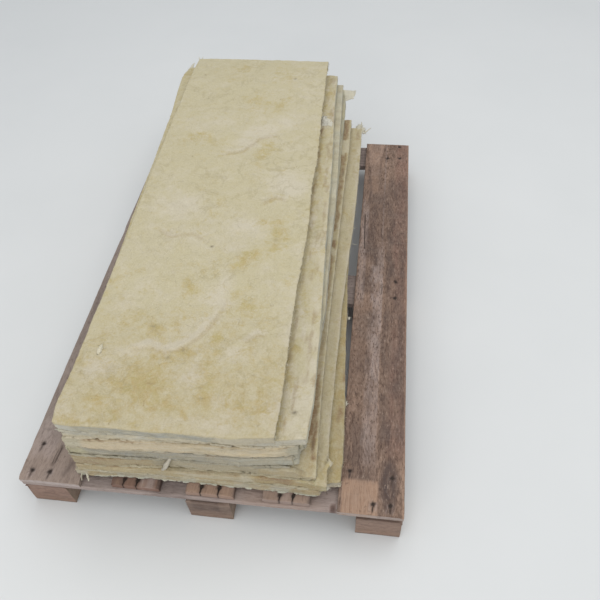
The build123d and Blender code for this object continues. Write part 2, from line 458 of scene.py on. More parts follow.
def wool(name, move, warm=0.0):
    """Felted glass wool: patches, mottle, fibre streaks, and layers where the slab is cut."""
    g = Graph(name)
    obj = g.node("ShaderNodeTexCoord").outputs["Object"]
    p = g.vec(obj, move=move)
    red, green, blue, dark = g.masks("mask")
    cut, _, seam, _ = g.masks("face")
    tint = g.node("ShaderNodeAttribute", attribute_type="GEOMETRY", attribute_name="tint").outputs["Color"]
    big = g.noise(p, 5.2, 3.0, 0.55, 0.4)
    mid = g.noise(g.vec(p, scale=(0.95, 1.05, 1.0)), 17.0, 5.0, 0.62, 0.9)
    mid2 = g.noise(g.vec(p, move=(3.1, 1.7, 0.4), scale=(0.85, 1.15, 1.0)), 13.0, 5.0, 0.62, 0.9)
    mot = g.noise(g.vec(p, scale=(0.95, 1.05, 1.0)), 52.0, 6.0, 0.66, 0.9)
    mot2 = g.noise(g.vec(p, move=(1.1, 4.7, 0.9)), 60.0, 5.0, 0.66, 0.7)
    fine = g.noise(p, 270.0, 4.0, 0.68)
    w = g.warp(p, 24.0, 0.030)
    w = g.warp(w, 85.0, 0.010)
    ya = g.noise(g.vec(w, scale=(330, 52, 330)), 1.0, 3.0, 0.6)
    xa = g.noise(g.vec(w, scale=(48, 300, 300), turn=(0, 0, 0.5)), 1.0, 3.0, 0.6)
    turn = g.ramp(g.noise(p, 9.0, 2.0), 0.42, 0.58)
    streak = g.add(g.mul(ya, turn), g.mul(xa, g.math("SUBTRACT", 1.0, turn)))
    fold = g.math("SUBTRACT", 1.0, g.mul(g.math("ABSOLUTE", g.math("SUBTRACT", g.noise(w, 17.0, 3.0, 0.55, 0.6), 0.5)), 26.0, True))

    def swing(n, size):
        return g.mul(g.math("SUBTRACT", n, 0.5), size)
    a = g.add(g.add(green, 0.26), g.add(swing(mid2, 2.0), swing(mot2, 1.2)))
    c = g.mix(g.ramp(a, 0.05, 1.20), CREAM, PALE)
    b = g.add(g.add(red, 0.12 + warm), g.add(swing(mid, 1.9), swing(mot, 2.3)))
    b = g.add(b, swing(streak, 0.9))
    c = g.mix(g.ramp(b, 0.20, 1.35), c, g.mix(g.ramp(mot2, 0.38, 0.62), OCHRE, OLIVE))
    c = g.mix(g.mul(blue, g.ramp(mot, 0.25, 0.6, 0.70, 1.15), True), c, BROWN)
    c = g.mix(g.ramp(streak, 0.36, 0.24, 0.0, 0.34), c, (0.255, 0.215, 0.115))
    c = g.mix(g.ramp(streak, 0.62, 0.76, 0.0, 0.34), c, (0.600, 0.565, 0.450))
    c = g.mix(g.mul(fold, g.ramp(big, 0.42, 0.62, 0.0, 0.30)), c, (0.262, 0.215, 0.110))
    fleck = g.ramp(g.noise(p, 150.0, 3.0, 0.6), 0.66, 0.76, 0.0, 0.62)
    c = g.mix(g.mul(fleck, g.ramp(b, 0.1, 0.9, 0.35, 1.0)), c, (0.210, 0.140, 0.060))

    lay = g.warp(p, 11.0, 0.010)
    lay = g.warp(lay, 60.0, 0.0040)
    strata = g.noise(g.vec(lay, scale=(16, 16, 300)), 1.0, 4.0, 0.62)
    thin = g.noise(g.vec(lay, scale=(34, 34, 820)), 1.0, 2.0, 0.5)
    patch = g.noise(g.vec(p, scale=(20, 20, 70)), 1.0, 4.0, 0.62, 0.6)
    f = g.mix(g.ramp(patch, 0.32, 0.68, 0.0, 0.30), tint, (0.470, 0.415, 0.275))
    f = g.mix(g.ramp(strata, 0.48, 0.72, 0.0, 0.50), f, (0.560, 0.520, 0.420))
    f = g.mix(g.ramp(strata, 0.43, 0.26, 0.0, 0.46), f, (0.240, 0.205, 0.120))
    f = g.mix(g.ramp(thin, 0.36, 0.22, 0.0, 0.35), f, (0.180, 0.145, 0.085))
    f = g.mix(g.mul(red, g.ramp(patch, 0.3, 0.62, 0.35, 1.1), True), f, OCHRE)
    f = g.mix(g.mul(green, 0.85, True), f, (0.56, 0.535, 0.47))
    f = g.mix(g.mul(seam, g.ramp(g.add(patch, g.mul(thin, 0.5)), 0.60, 0.86, 0.20, 1.1), True), f, BROWN)

    c = g.mix(cut, c, f)
    c = g.mix(g.ramp(fine, 0.35, 0.75, 0.0, 0.16), c, (0.700, 0.660, 0.540))
    c = g.mix(g.ramp(fine, 0.45, 0.25, 0.0, 0.20), c, (0.250, 0.215, 0.130))
    c = g.mix(g.mul(dark, 0.85, True), c, DARK)
    h = g.add(g.mul(mot, 0.60), g.mul(fine, 0.35))
    h = g.add(h, g.mul(streak, 0.60))
    h = g.add(h, g.mul(g.mul(strata, cut), 0.9))
    h = g.add(h, g.mul(g.mul(thin, cut), 0.35))
    rough = g.ramp(fine, 0.3, 0.7, 0.90, 0.99)
    return g.finish(c, rough, h, 0.0032, 0.9, 0.18, **{"Sheen Weight": 0.06, "Sheen Roughness": 0.6})


def wood(name, along_x=False, move=(0, 0, 0), light=(0.345, 0.245, 0.165), dim=(0.205, 0.140, 0.095),
         grey=0.25, saw=0.5, fibre=1.0, ends=(0.360, 0.265, 0.200), size=190, swirl=0.0, flecks=None):
    """Rough sawn softwood, weathered by an amount, with saw marks across the grain."""
    g = Graph(name)
    obj = g.node("ShaderNodeTexCoord").outputs["Object"]
    p = g.vec(obj, move=move)
    fresh, stain, bleach, crack = g.masks("mask")
    edge, end, ruddy, _ = g.masks("face")
    L = (2.2, 62, 62) if along_x else (62, 2.2, 62)
    F = (16, 560, 560) if along_x else (560, 16, 560)
    S = (330, 9, 60) if along_x else (9, 330, 60)
    w = g.warp(p, 3.2, 0.050)
    w = g.warp(w, 26.0, 0.0035)
    grain = g.noise(g.vec(w, scale=L), 1.0, 3.0, 0.55, 0.25)
    bands = g.math("FRACT", g.mul(grain, 7.5))
    late = g.mul(g.ramp(bands, 0.55, 0.93), g.ramp(bands, 1.0, 0.95))
    fib = g.noise(g.vec(w, scale=F), 1.0, 3.0, 0.6)
    dirt = g.noise(p, 13.0, 5.0, 0.65, 0.5)
    spot = g.noise(p, 95.0, 4.0, 0.62, 0.4)
    wild = g.noise(g.vec(g.warp(p, 9.0, 0.030), scale=(26, 90, 90) if along_x else (90, 26, 90)), 1.0, 5.0, 0.62, 1.1)
    spot2 = g.noise(g.vec(w, scale=(70, 22, 70) if not along_x else (22, 70, 70)), 1.0, 4.0, 0.62)
    sawn = g.noise(g.vec(p, scale=S), 1.0, 2.0, 0.5)
    c = g.mix(g.ramp(grain, 0.3, 0.7), light, tuple(0.82 * a + 0.18 * b for a, b in zip(light, dim)))
    c = g.mix(g.mul(late, 0.55 * fibre), c, dim)
    c = g.mix(g.ramp(fib, 0.52, 0.74, 0.0, 0.55 * fibre), c, tuple(v * 0.62 for v in dim))
    c = g.mix(g.ramp(fib, 0.46, 0.26, 0.0, 0.32 * fibre), c, tuple(min(1.0, v * 1.28) for v in light))
    broad = g.noise(g.vec(w, scale=(5, 34, 34) if along_x else (34, 5, 34)), 1.0, 4.0, 0.6, 0.4)
    c = g.mix(g.ramp(broad, 0.52, 0.72, 0.0, 0.40 + 0.5 * grey), c, tuple(v * 0.80 for v in dim))
    c = g.mix(g.ramp(wild, 0.50, 0.64, 0.0, swirl), c, tuple(v * 0.66 for v in dim))
    c = g.mix(g.ramp(wild, 0.48, 0.34, 0.0, 0.8 * swirl), c, tuple(min(1.0, v * 1.22) for v in light))
    c = g.mix(g.mul(ruddy, g.ramp(broad, 0.35, 0.65, 0.9, 0.4)), c, (0.235, 0.128, 0.100))
    c = g.mix(g.ramp(dirt, 0.45, 0.75, 0.0, 0.9 * grey + 0.25), c, (0.155, 0.125, 0.110))
    c = g.mix(g.mul(fresh, g.ramp(dirt, 0.2, 0.7, 1.0, 0.65)), c, g.mix(g.ramp(fib, 0.4, 0.7), (0.385, 0.258, 0.186), (0.300, 0.184, 0.122)))
    c = g.mix(g.mul(bleach, g.ramp(spot2, 0.34, 0.6, 0.35, 0.95)), c, (0.390, 0.320, 0.300))
    c = g.mix(g.mul(stain, g.ramp(spot2, 0.72, 0.3, 0.55, 1.05), True), c, (0.082, 0.058, 0.052))
    flecks = grey if flecks is None else flecks
    fleck = g.noise(g.vec(w, scale=(0.27 * size, size, size) if along_x else (size, 0.27 * size, size)), 1.0, 4.0, 0.66, 0.3)
    fade = g.math("SUBTRACT", 1.0, g.mul(fresh, 0.75))
    c = g.mix(g.mul(g.ramp(fleck, 0.50, 0.66, 0.0, flecks * 1.30 + 0.08), fade, True), c, (0.085, 0.052, 0.040))
    c = g.mix(g.mul(g.ramp(fleck, 0.44, 0.30, 0.0, flecks * 0.75), fade, True), c, (0.400, 0.300, 0.240))
    c = g.mix(g.ramp(spot, 0.60, 0.74, 0.0, 0.55), c, (0.105, 0.070, 0.055))
    c = g.mix(g.mul(g.ramp(sawn, 0.58, 0.74), saw * 0.16), c, (0.400, 0.320, 0.275))
    # lighter band along the top of every wall: painted highlight on the upper edge
    c = g.mix(g.mul(edge, 0.22), c, (0.350, 0.250, 0.195))
    c = g.mix(g.mul(end, g.ramp(spot, 0.3, 0.6, 0.4, 0.85)), c, ends)
    c = g.mix(crack, c, (0.022, 0.016, 0.014))
    h = g.add(g.mul(fib, 0.5 * fibre), g.mul(late, -0.25 * fibre))
    h = g.add(h, g.mul(sawn, saw * 0.28))
    h = g.add(h, g.mul(spot, 0.35))
    h = g.add(h, g.mul(fleck, -0.45))
    return g.finish(c, g.ramp(spot, 0.3, 0.7, 0.72, 0.94), h, 0.0014, 0.8, 0.25)


def rusty(name):
    g = Graph(name)
    p = g.node("ShaderNodeTexCoord").outputs["Object"]
    a = g.noise(p, 420.0, 5.0, 0.65)
    b = g.noise(p, 1500.0, 3.0, 0.6)
    c = g.mix(g.ramp(a, 0.35, 0.65), (0.016, 0.012, 0.011), (0.040, 0.022, 0.014))
    c = g.mix(g.ramp(b, 0.62, 0.78, 0.0, 0.35), c, (0.100, 0.080, 0.070))
    return g.finish(c, g.ramp(a, 0.3, 0.7, 0.45, 0.85), g.add(a, g.mul(b, 0.4)), 0.0004, 0.8, 0.4, Metallic=0.35)


# ---------------------------------------------------------------------------
# Glass-wool slabs
# ---------------------------------------------------------------------------

LEVEL = [110.0, 132.0, 158.0, 190.0, 223.0, 256.0, 280.0, 310.0]
RIM = [0.8, 2.0, 3.6, 5.5, 8.0]

PLAN = {
    1: dict(near=[(-276, -576), (-228, -576), (-122, -570), (-16, -570), (78, -570), (191, -571), (212, -573), (229, -571), (236, -557), (252, -551), (270, -548)],
            right=[(270, -548), (271, -500), (266, -374), (256, -197), (252, -97), (246, 10), (240, 300), (236, 598)],
            far=[(-279, 602), (0, 605), (236, 598)], left=[(-276, -576), (-281, -200), (-277, 200), (-279, 602)]),
    2: dict(near=[(-267, -576), (-190, -573), (-116, -572), (-12, -571), (70, -568), (160, -566), (226, -570), (245, -571)],
            right=[(245, -571), (243.5, -548), (243, -532), (248, -525), (249, -517), (243, -510), (241, -497), (240, -400), (240, -300), (241, -200), (240, -130), (242, -60), (244, 14),
                   (247, 94), (250, 180), (251, 290), (252, 390), (251, 460), (250, 530), (248, 612)],
            far=[(-282, 616), (-40, 612), (248, 612)], left=[(-267, -576), (-273, -150), (-278, 300), (-282, 616)]),
    3: dict(near=[(-267, -573), (-190, -574), (-155, -569), (-112, -566), (-66, -559), (-10, -562), (83, -558), (136, -562), (223, -560)],
            right=[(223, -560), (218, -420), (215, -190), (215, 170), (217, 454), (215, 608)],
            far=[(-284, 603), (0, 608), (215, 608)], left=[(-267, -573), (-274, -200), (-276, 250), (-284, 603)]),
    4: dict(near=[(-269, -570), (-180, -568), (-106, -564), (-4, -563), (76, -562), (140, -555), (178, -551)],
            right=[(178, -551), (186, -450), (192, -350), (198, -200), (200, -100), (200, 85), (199, 200), (198, 330), (196, 450),
                   (195, 560), (192, 650), (183, 735)],
            far=[(-291, 737), (-60, 741), (183, 735)], left=[(-269, -570), (-276, -100), (-284, 400), (-291, 737)]),
    5: dict(near=[(-265, -568), (-180, -567), (-95, -561), (0, -557), (80, -556), (150, -548), (188, -539)],
            right=[(188, -539), (197, -430), (203, -320), (208, -213), (207, -149), (204, -78), (203, 0), (203, 112), (201, 200),
                   (198, 290), (193, 400), (187, 558), (183, 650), (181, 703)],
            far=[(-299, 711), (-70, 706), (181, 703)], left=[(-265, -568), (-278, -100), (-289, 350), (-299, 711)]),
    6: dict(near=[(-261, -564), (-200, -563), (-108, -557), (4, -551), (70, -552), (122, -548), (204, -535)],
            right=[(204, -535), (209, -452), (205, -284), (196, -89), (186, 164), (179, 330), (167, 546), (162, 716)],
            far=[(-318, 747), (-180, 742), (0, 730), (162, 716)],
            left=[(-261, -564), (-286, -200), (-294, -40), (-301, 105), (-304, 250), (-312, 470), (-327, 640), (-329, 700), (-318, 747)]),
    7: dict(near=[(-270, -560), (-262, -565), (-237, -567), (-173, -564), (-78, -564), (-22, -562), (42, -561), (70, -562), (97, -559), (149, -552)],
            right=[(149, -552), (151, -500), (150, -429), (148, -312), (146, -190), (150, -96), (150, 16), (143, 136),
                   (144, 179), (146, 232), (142, 336), (138, 440), (135, 576), (130, 752)],
            far=[(-285, 751), (-60, 754), (130, 752)], left=[(-270, -560), (-274, -520), (-272, -450), (-271, -380), (-272, -300), (-274, -200), (-275, -110),
                                              (-278, 0), (-280, 100), (-283, 250), (-284, 400), (-285, 751)]),
}

# outward lean of the near face from top to bottom, its tone from grey-green to cream, and its brown
LEAN = {1: 1.5, 2: 0.5, 3: 0.5, 4: -2.0, 5: 2.5, 6: 1.0, 7: -0.5}
LEAN_RIGHT = {1: 0.6, 2: -1.0, 3: -1.0, 4: 0.6, 5: 0.6, 6: 0.8, 7: -6.0}
TONE = {1: (0.370, 0.342, 0.270), 2: (0.370, 0.308, 0.190), 3: (0.300, 0.268, 0.195), 4: (0.268, 0.254, 0.214),
        5: (0.515, 0.430, 0.298), 6: (0.465, 0.430, 0.345), 7: (0.335, 0.324, 0.272)}
# tone of the other walls; slab 7's darker brown is painted shade on its undercut right wall
SIDE_TONE = {1: (0.36, 0.29, 0.18), 2: (0.44, 0.41, 0.27), 3: (0.36, 0.29, 0.175), 4: (0.420, 0.398, 0.285),
             5: (0.425, 0.402, 0.312), 6: (0.46, 0.455, 0.36), 7: (0.36, 0.30, 0.18)}
BROWNED = {1: 0.16, 2: 0.42, 3: 0.34, 4: 0.12, 5: 0.12, 6: 0.08, 7: 0.04}
# stretches of the near faces that differ: x from, x to, colour
PATCHED = {
    7: [(-275, -238, (0.49, 0.48, 0.43)), (40, 165, (0.46, 0.41, 0.31))],
    6: [(96, 215, (0.44, 0.42, 0.36)), (-60, 96, (0.50, 0.45, 0.34))],
    # slab 5's darker stretch from x 168 to 195 is painted shade of the hollow at its near right corner
    5: [(-275, -235, (0.42, 0.385, 0.29)), (-230, -40, (0.525, 0.428, 0.295)), (168, 195, (0.32, 0.31, 0.25))],
    4: [(-275, -235, (0.40, 0.38, 0.25)), (60, 150, (0.34, 0.325, 0.27)), (150, 185, (0.35, 0.355, 0.31))],
    3: [(-275, -100, (0.33, 0.262, 0.145)), (-60, 60, (0.34, 0.305, 0.225)), (150, 230, (0.38, 0.320, 0.20))],
    2: [(-262, -150, (0.42, 0.340, 0.190)), (-60, 60, (0.42, 0.37, 0.26)), (70, 96, (0.47, 0.43, 0.33)), (100, 175, (0.36, 0.27, 0.125)),
        (196, 245, (0.36, 0.33, 0.17))],
    1: [(135, 200, (0.33, 0.33, 0.29)), (-60, 60, (0.43, 0.41, 0.32))],
}
# marks on the near faces: x from, x to, z from, z to, strength
BROWN_MARKS = [(-257, -239, 163, 173, 1.0), (-226, -196, 164, 174, 1.0), (-198, -189, 163, 173, 1.0), (-224, -182, 252, 259, 1.0),
               (-160, -104, 252, 259, 0.9), (-82, -68, 251, 259, 1.0), (-47, -40, 250, 260, 1.0), (44, 51, 250, 260, 1.0),
               (61, 68, 251, 260, 0.9), (94, 102, 251, 260, 0.9), (112, 128, 252, 260, 1.0), (136, 142, 250, 261, 1.0),
               (155, 173, 252, 260, 0.9), (-30, 20, 186, 193, 0.8), (70, 92, 187, 194, 0.8), (118, 150, 154, 162, 0.9),
               (-120, -90, 220, 226, 0.6), (10, 34, 221, 227, 0.6), (-90, -60, 128, 135, 0.8), (20, 60, 129, 135, 0.8),
               (92, 130, 126, 134, 0.9), (160, 190, 128, 137, 0.8), (-262, -250, 205, 216, 0.7)]
OCHRE_MARKS = [(-252, -190, 112, 129, 1.0), (-84, -46, 114, 150, 0.8), (-22, 55, 112, 142, 0.8), (88, 128, 112, 136, 0.9),
               (172, 232, 113, 152, 1.0), (110, 160, 160, 186, 0.6), (-150, -100, 135, 155, 0.5), (190, 218, 160, 186, 0.7)]

OCHRE_SPOTS = {
    7: [(-117, -462, 39, 26, .9), (-109, -438, 24, 18, .8), (-153, -474, 35, 15, .7), (-197, -503, 12, 11, .9),
        (-173, -488, 15, 13, .6), (-86, -403, 24, 16, .7), (-52, -383, 16, 14, .8), (-1, -375, 12, 38, .8),
        (5, -345, 16, 10, .7), (6, -455, 15, 20, .8), (1, -486, 17, 9, .9), (-80, -487, 27, 21, .4),
        (-214, -556, 34, 8, .9), (-108, -552, 17, 8, .8), (-93, -510, 47, 25, .35), (88, -433, 12, 16, .5),
        (77, -489, 19, 15, .5), (63, -533, 26, 8, .6), (116, -529, 18, 10, .6), (83, -43, 23, 52, .8),
        (46, 1, 21, 14, .7), (12, -133, 9, 21, .7), (31, -109, 20, 15, .5), (-53, -163, 16, 18, .5),
        (-89, -210, 15, 14, .5), (-75, -232, 35, 17, .5), (-132, -335, 29, 20, .9), (-94, -318, 15, 8, .6),
        (-126, 695, 28, 29, .5), (-145, 642, 43, 34, .4), (-52, 496, 41, 46, .55), (15, 495, 14, 25, .6),
        (-200, 326, 39, 27, .5), (8, 295, 32, 30, .4), (-11, 242, 16, 42, .4), (-79, 51, 22, 43, .45),
        (47, -255, 30, 27, .35), (28, -109, 68, 43, .3), (-147, -526, 57, 21, .3), (6, 651, 49, 56, .4),
        (-100, 314, 82, 45, .2), (113, -468, 19, 21, .35), (125, -376, 16, 47, .3), (-237, -373, 21, 15, .4),
        (-34, -515, 56, 17, .25)],
    6: [(154, -352, 10, 34, .8), (169, -338, 16, 10, .4), (148, -401, 8, 23, .8), (144, -470, 8, 35, .8),
        (144, -512, 7, 29, .6), (138, -22, 14, 47, .7), (142, 141, 8, 61, .7), (141, 66, 7, 36, .6),
        (143, -103, 7, 37, .7), (143, 373, 6, 55, 1), (143, 284, 5, 60, .7), (170, -116, 18, 18, .3),
        (164, -205, 11, 39, .3), (169, 32, 19, 35, .3), (141, -316, 10, 15, .4), (157, -288, 21, 31, .3)],
    3: [],
    1: [(252, -434, 11, 93, .5), (246, -309, 9, 105, .4), (257, -523, 12, 21, .5)],
}
PALE_SPOTS = {
    7: [(-19, 361, 44, 32, .8), (-57, 308, 33, 31, .7), (54, 399, 33, 33, .6), (75, 139, 45, 38, 1),
        (-178, 44, 45, 36, .9), (-211, -434, 32, 18, .8), (-159, -395, 44, 14, .6), (-14, -218, 20, 50, .8),
        (-17, -247, 26, 27, .6), (-36, -308, 37, 21, .5), (152, -324, 20, 25, .8), (44, -376, 24, 19, .6),
        (150, -486, 26, 25, .8), (96, -502, 37, 17, .5), (27, -488, 19, 11, .4), (-31, -449, 15, 44, .5),
        (19, -541, 55, 16, .5), (-12, -14, 48, 27, .5), (-100, -55, 47, 33, .4), (-20, -98, 32, 13, .6),
        (24, -11, 33, 14, .6), (-192, -159, 45, 42, .3), (68, -143, 18, 18, .6), (-218, -265, 26, 27, .4),
        (61, 571, 47, 74, .3), (-67, -382, 28, 7, .5), (134, -219, 21, 55, .4), (-161, 404, 57, 48, .3),
        (-256, -537, 9, 25, .3), (-164, -515, 9, 3, 1)],
    2: [(249, 300, 4, 330, .6)],
    6: [(179, -498, 19, 21, .8), (189, -420, 16, 27, .5), (192, -285, 17, 52, .4), (146, 459, 14, 24, 1),
        (171, -36, 16, 33, .5), (184, -466, 15, 17, .6)],
}
BROWN_SPOTS = {
    6: [(142, 412, 4, 17, 1), (143, 300, 3, 40, .7), (141, 60, 4, 18, .8), (146, 168, 3, 26, .7), (150, -352, 4, 16, .5)],
    2: [(239, 572, 6, 24, .6), (228, 449, 9, 57, .2)],
    1: [(262, -296, 8, 30, .9), (257, -392, 8, 26, .8), (252, -20, 5, 60, .5)],
}
# how brown the ledge of slab 3 is along y
BROWN_LEDGE = [(-560, .25), (-505, .35), (-498, 1.0), (-400, .95), (-335, .85), (-328, .45), (-240, .45), (-125, .55), (-92, .75), (14, .75),
               (20, .1), (44, .1), (48, .95), (76, .95), (82, .1), (108, .15), (122, .95), (186, .85), (330, .7), (428, .85), (436, 0),
               (502, 0), (510, .9), (600, .75)]
DARK_SPOTS = {
    7: [(-64, -88, 5, 5, 1.5), (40, 633, 5, 7, 1.1), (-204, 512, 4, 5, .7), (0, -486, 8, 4, .6), (-61, -381, 6, 5, .7),
        (-87, -401, 8, 7, .6), (-138, -328, 10, 4, .6), (-107, -554, 4, 3, .8), (-52, -378, 6, 7, .4),
        (89, -426, 6, 3, .5), (80, -57, 7, 10, .4), (116, -533, 4, 3, .6), (-8, -463, 4, 4, .4), (-106, -463, 16, 4, .4)],
    6: [(176, -484, 6, 5, 1.5), (139, 415, 4, 24, .7), (142, 160, 3, 23, .5)],
    3: [(208, 350, 4, 9, 1), (208, 338, 4, 6, 1), (211, -502, 5, 14, .9), (206, -250, 3, 16, .6)],
    2: [(236, 112, 3, 8, 1), (241, -512, 3, 9, 1)],
}
CREASES = [
    ([(-193, -411), (-169, -389), (-134, -378), (-95, -387), (-65, -374), (-38, -347), (-20, -314), (-5, -273), (2, -222)], 5.0, 1.9),
    ([(107, -427), (124, -439), (138, -455)], 3.0, 1.2),
    ([(118, -487), (131, -499), (141, -510)], 3.0, 1.2),
    ([(51, -358), (77, -333), (107, -326)], 4.0, 1.1),
    ([(-150, -352), (-137, -330), (-118, -345), (-104, -330)], 3.5, 1.4),
    ([(-214, -30), (-170, -62), (-120, -48), (-70, -76)], 4.5, 0.6),
    ([(20, 60), (58, 92), (96, 84)], 4.5, 0.9),
    ([(-120, 250), (-60, 270), (-20, 330), (30, 352)], 5.0, 1.0),
]


def sag(y):
    return 15.0 * np.clip((y - 600.0) / 200.0, 0, 1.2) ** 1.6


def boundary(k, x, y):
    """Height of the face between slab k and slab k + 1 (k = 0 is the deck)."""
    wave = 1.5 * fbm(x / 150.0, y / 190.0, seed=400 + k, octaves=2) if 0 < k < 7 else 0.0
    return LEVEL[k] - sag(y) + wave


def ragged(pts, seed, amount=1.0, teeth=0.0):
    """A wandering outline: broad drift, torn bites and small fray."""
    p = along(pts, np.linspace(0, 1, 420))
    d = np.gradient(p, axis=0)
    d /= np.linalg.norm(d, axis=1, keepdims=True)
    nrm = np.stack([d[:, 1], -d[:, 0]], 1)
    s = np.r_[0, np.cumsum(np.linalg.norm(np.diff(p, axis=0), axis=1))]
    off = 0.7 * vnoise(s / 110.0, seed + 0.5, seed=seed) + 0.55 * vnoise(s / 24.0, seed + 0.5, seed=seed + 1)
    off += 0.55 * vnoise(s / 7.0, seed + 0.5, seed=seed + 2)
    off -= 2.2 * np.clip(vnoise(s / 17.0, seed + 0.5, seed=seed + 4) - 0.55, 0, 1)
    off += teeth * (vnoise(s / 4.2, seed + 0.5, seed=seed + 6) - 0.8 * np.clip(vnoise(s / 11.0, seed + 0.5, seed=seed + 8) - 0.4, 0, 1))
    ends = np.clip(np.minimum(s, s[-1] - s) / 14.0, 0, 1)
    return p + nrm * (off * ends * amount)[:, None]


def covered_right(k, y):
    """Right edge of whatever lies on slab k."""
    if k == 7:
        return np.full_like(y, -1e4)
    best = np.full_like(y, -1e4)
    for j in range(k + 1, 8):
        e = np.array(PLAN[j]["right"], float)
        best = np.maximum(best, np.interp(y, e[:, 1], e[:, 0]))
    return best


def strands(rng, ring, nrm, side, count, where, zspan, long=(3.0, 9.0), out=1.0, thick=(0.16, 0.36)):
    """Loose fibres that stand out from the rim and the cut walls."""
    pick = np.flatnonzero(np.isin(side, where))
    i = rng.choice(pick, count)
    t = rng.random(count) ** 1.6
    z = ring[i, 2] - 0.6 - t * zspan
    root = np.stack([ring[i, 0], ring[i, 1], z], 1)
    jit = rng.normal(0, 1.0, (count, 2))
    tang = np.stack([-nrm[i, 1], nrm[i, 0]], 1)
    root[:, :2] += tang * jit[:, :1] * 1.6 - nrm[i] * 1.0
    head = np.zeros((count, 3))
    head[:, :2] = nrm[i] * out + tang * rng.normal(0, 1.15, (count, 1))
    head[:, 2] = rng.normal(0.05, 0.45, count)
    length = rng.uniform(*long, count) * (0.6 + 0.8 * rng.random(count) ** 3)
    curl = rng.normal(0, 1.0, (count, 3)) * length[:, None] * 0.28
    curl[:, 2] -= length * 0.22
    kink = rng.normal(0, 1.0, (count, 3)) * length[:, None] * 0.12
    return tubes(root, head, length, rng.uniform(*thick, count), curl, kink=kink)


def wisp(points, radii, seed, sides=7, steps=22, flat=1.0):
    """A closed, smooth, uneven strand through some points, thick as given at each."""
    P = np.array(points, float)
    n = len(P)
    E = np.vstack([2 * P[0] - P[1], P, 2 * P[-1] - P[-2]])
    u = np.linspace(0, n - 1.0001, steps)
    i = u.astype(int)
    t = (u - i)[:, None]
    a, b, c, d = E[i], E[i + 1], E[i + 2], E[i + 3]
    path = 0.5 * (2 * b + (c - a) * t + (2 * a - 5 * b + 4 * c - d) * t ** 2 + (3 * b - a - 3 * c + d) * t ** 3)
    r = np.interp(u, np.arange(n), radii)
    tan = np.gradient(path, axis=0)
    tan /= np.linalg.norm(tan, axis=1, keepdims=True) + 1e-9
    ref = np.where(np.abs(tan[:, 2:3]) > 0.9, np.array([1.0, 0, 0]), np.array([0, 0, 1.0]))
    A = np.cross(tan, ref)
    A /= np.linalg.norm(A, axis=1, keepdims=True) + 1e-9
    B = np.cross(tan, A) * flat
    ang = np.arange(sides) * 2 * math.pi / sides
    lump = 1 + 0.30 * vnoise(u[:, None] * 3.1 + seed, ang[None] * 1.1, seed=seed)
    ring = (path[:, None] + (r[:, None] * lump)[..., None] * (np.cos(ang)[None, :, None] * A[:, None] + np.sin(ang)[None, :, None] * B[:, None]))
    co = np.concatenate([ring.reshape(-1, 3), path[:1], path[-1:]])
    idx = np.arange(steps * sides).reshape(steps, sides)
    q = np.stack([idx[:-1], np.roll(idx[:-1], -1, 1), np.roll(idx[1:], -1, 1), idx[1:]], -1).reshape(-1, 4)
    k = steps * sides
    caps = np.concatenate([np.stack([np.full(sides, k), np.roll(idx[0], -1), idx[0]], 1),
                           np.stack([np.full(sides, k + 1), idx[-1], np.roll(idx[-1], -1)], 1)])
    return co, q, caps


def blob(center, half, seed, turn=0.0, rough=0.42, nu=22, nv=13):
    """A torn tuft: a closed lump pulled about by noise."""
    u = np.linspace(0, 2 * math.pi, nu, endpoint=False)
    v = np.linspace(0, math.pi, nv)[1:-1]
    U, V = np.meshgrid(u, v)
    d = np.stack([np.cos(U) * np.sin(V), np.sin(U) * np.sin(V), np.cos(V)], -1).reshape(-1, 3)
    d = np.concatenate([[[0, 0, 1.0]], d, [[0, 0, -1.0]]])
    r = 1 + rough * fbm(d[:, 0] * 1.7 + seed, d[:, 1] * 1.7, d[:, 2] * 1.7 + 0.3, seed=seed, octaves=3)
    r += 0.30 * vnoise(d[:, 0] * 5, d[:, 1] * 5, d[:, 2] * 5 + 0.3, seed=seed + 5)
    r += 0.16 * vnoise(d[:, 0] * 11, d[:, 1] * 11, d[:, 2] * 11 + 0.3, seed=seed + 6)
    p = d * r[:, None] * np.array(half, float)
    c, s = math.cos(turn), math.sin(turn)
    p = np.stack([c * p[:, 0] - s * p[:, 1], s * p[:, 0] + c * p[:, 1], p[:, 2]], 1) + np.array(center, float)
    idx = 1 + np.arange((nv - 2) * nu).reshape(nv - 2, nu)
    a, b = idx[:-1], idx[1:]
    q = np.stack([a, b, np.roll(b, -1, 1), np.roll(a, -1, 1)], -1).reshape(-1, 4)
    top = np.stack([np.zeros(nu, int), idx[0], np.roll(idx[0], -1)], 1)
    low = np.stack([np.full(nu, len(p) - 1), np.roll(idx[-1], -1), idx[-1]], 1)
    return p, q, np.concatenate([top, low])


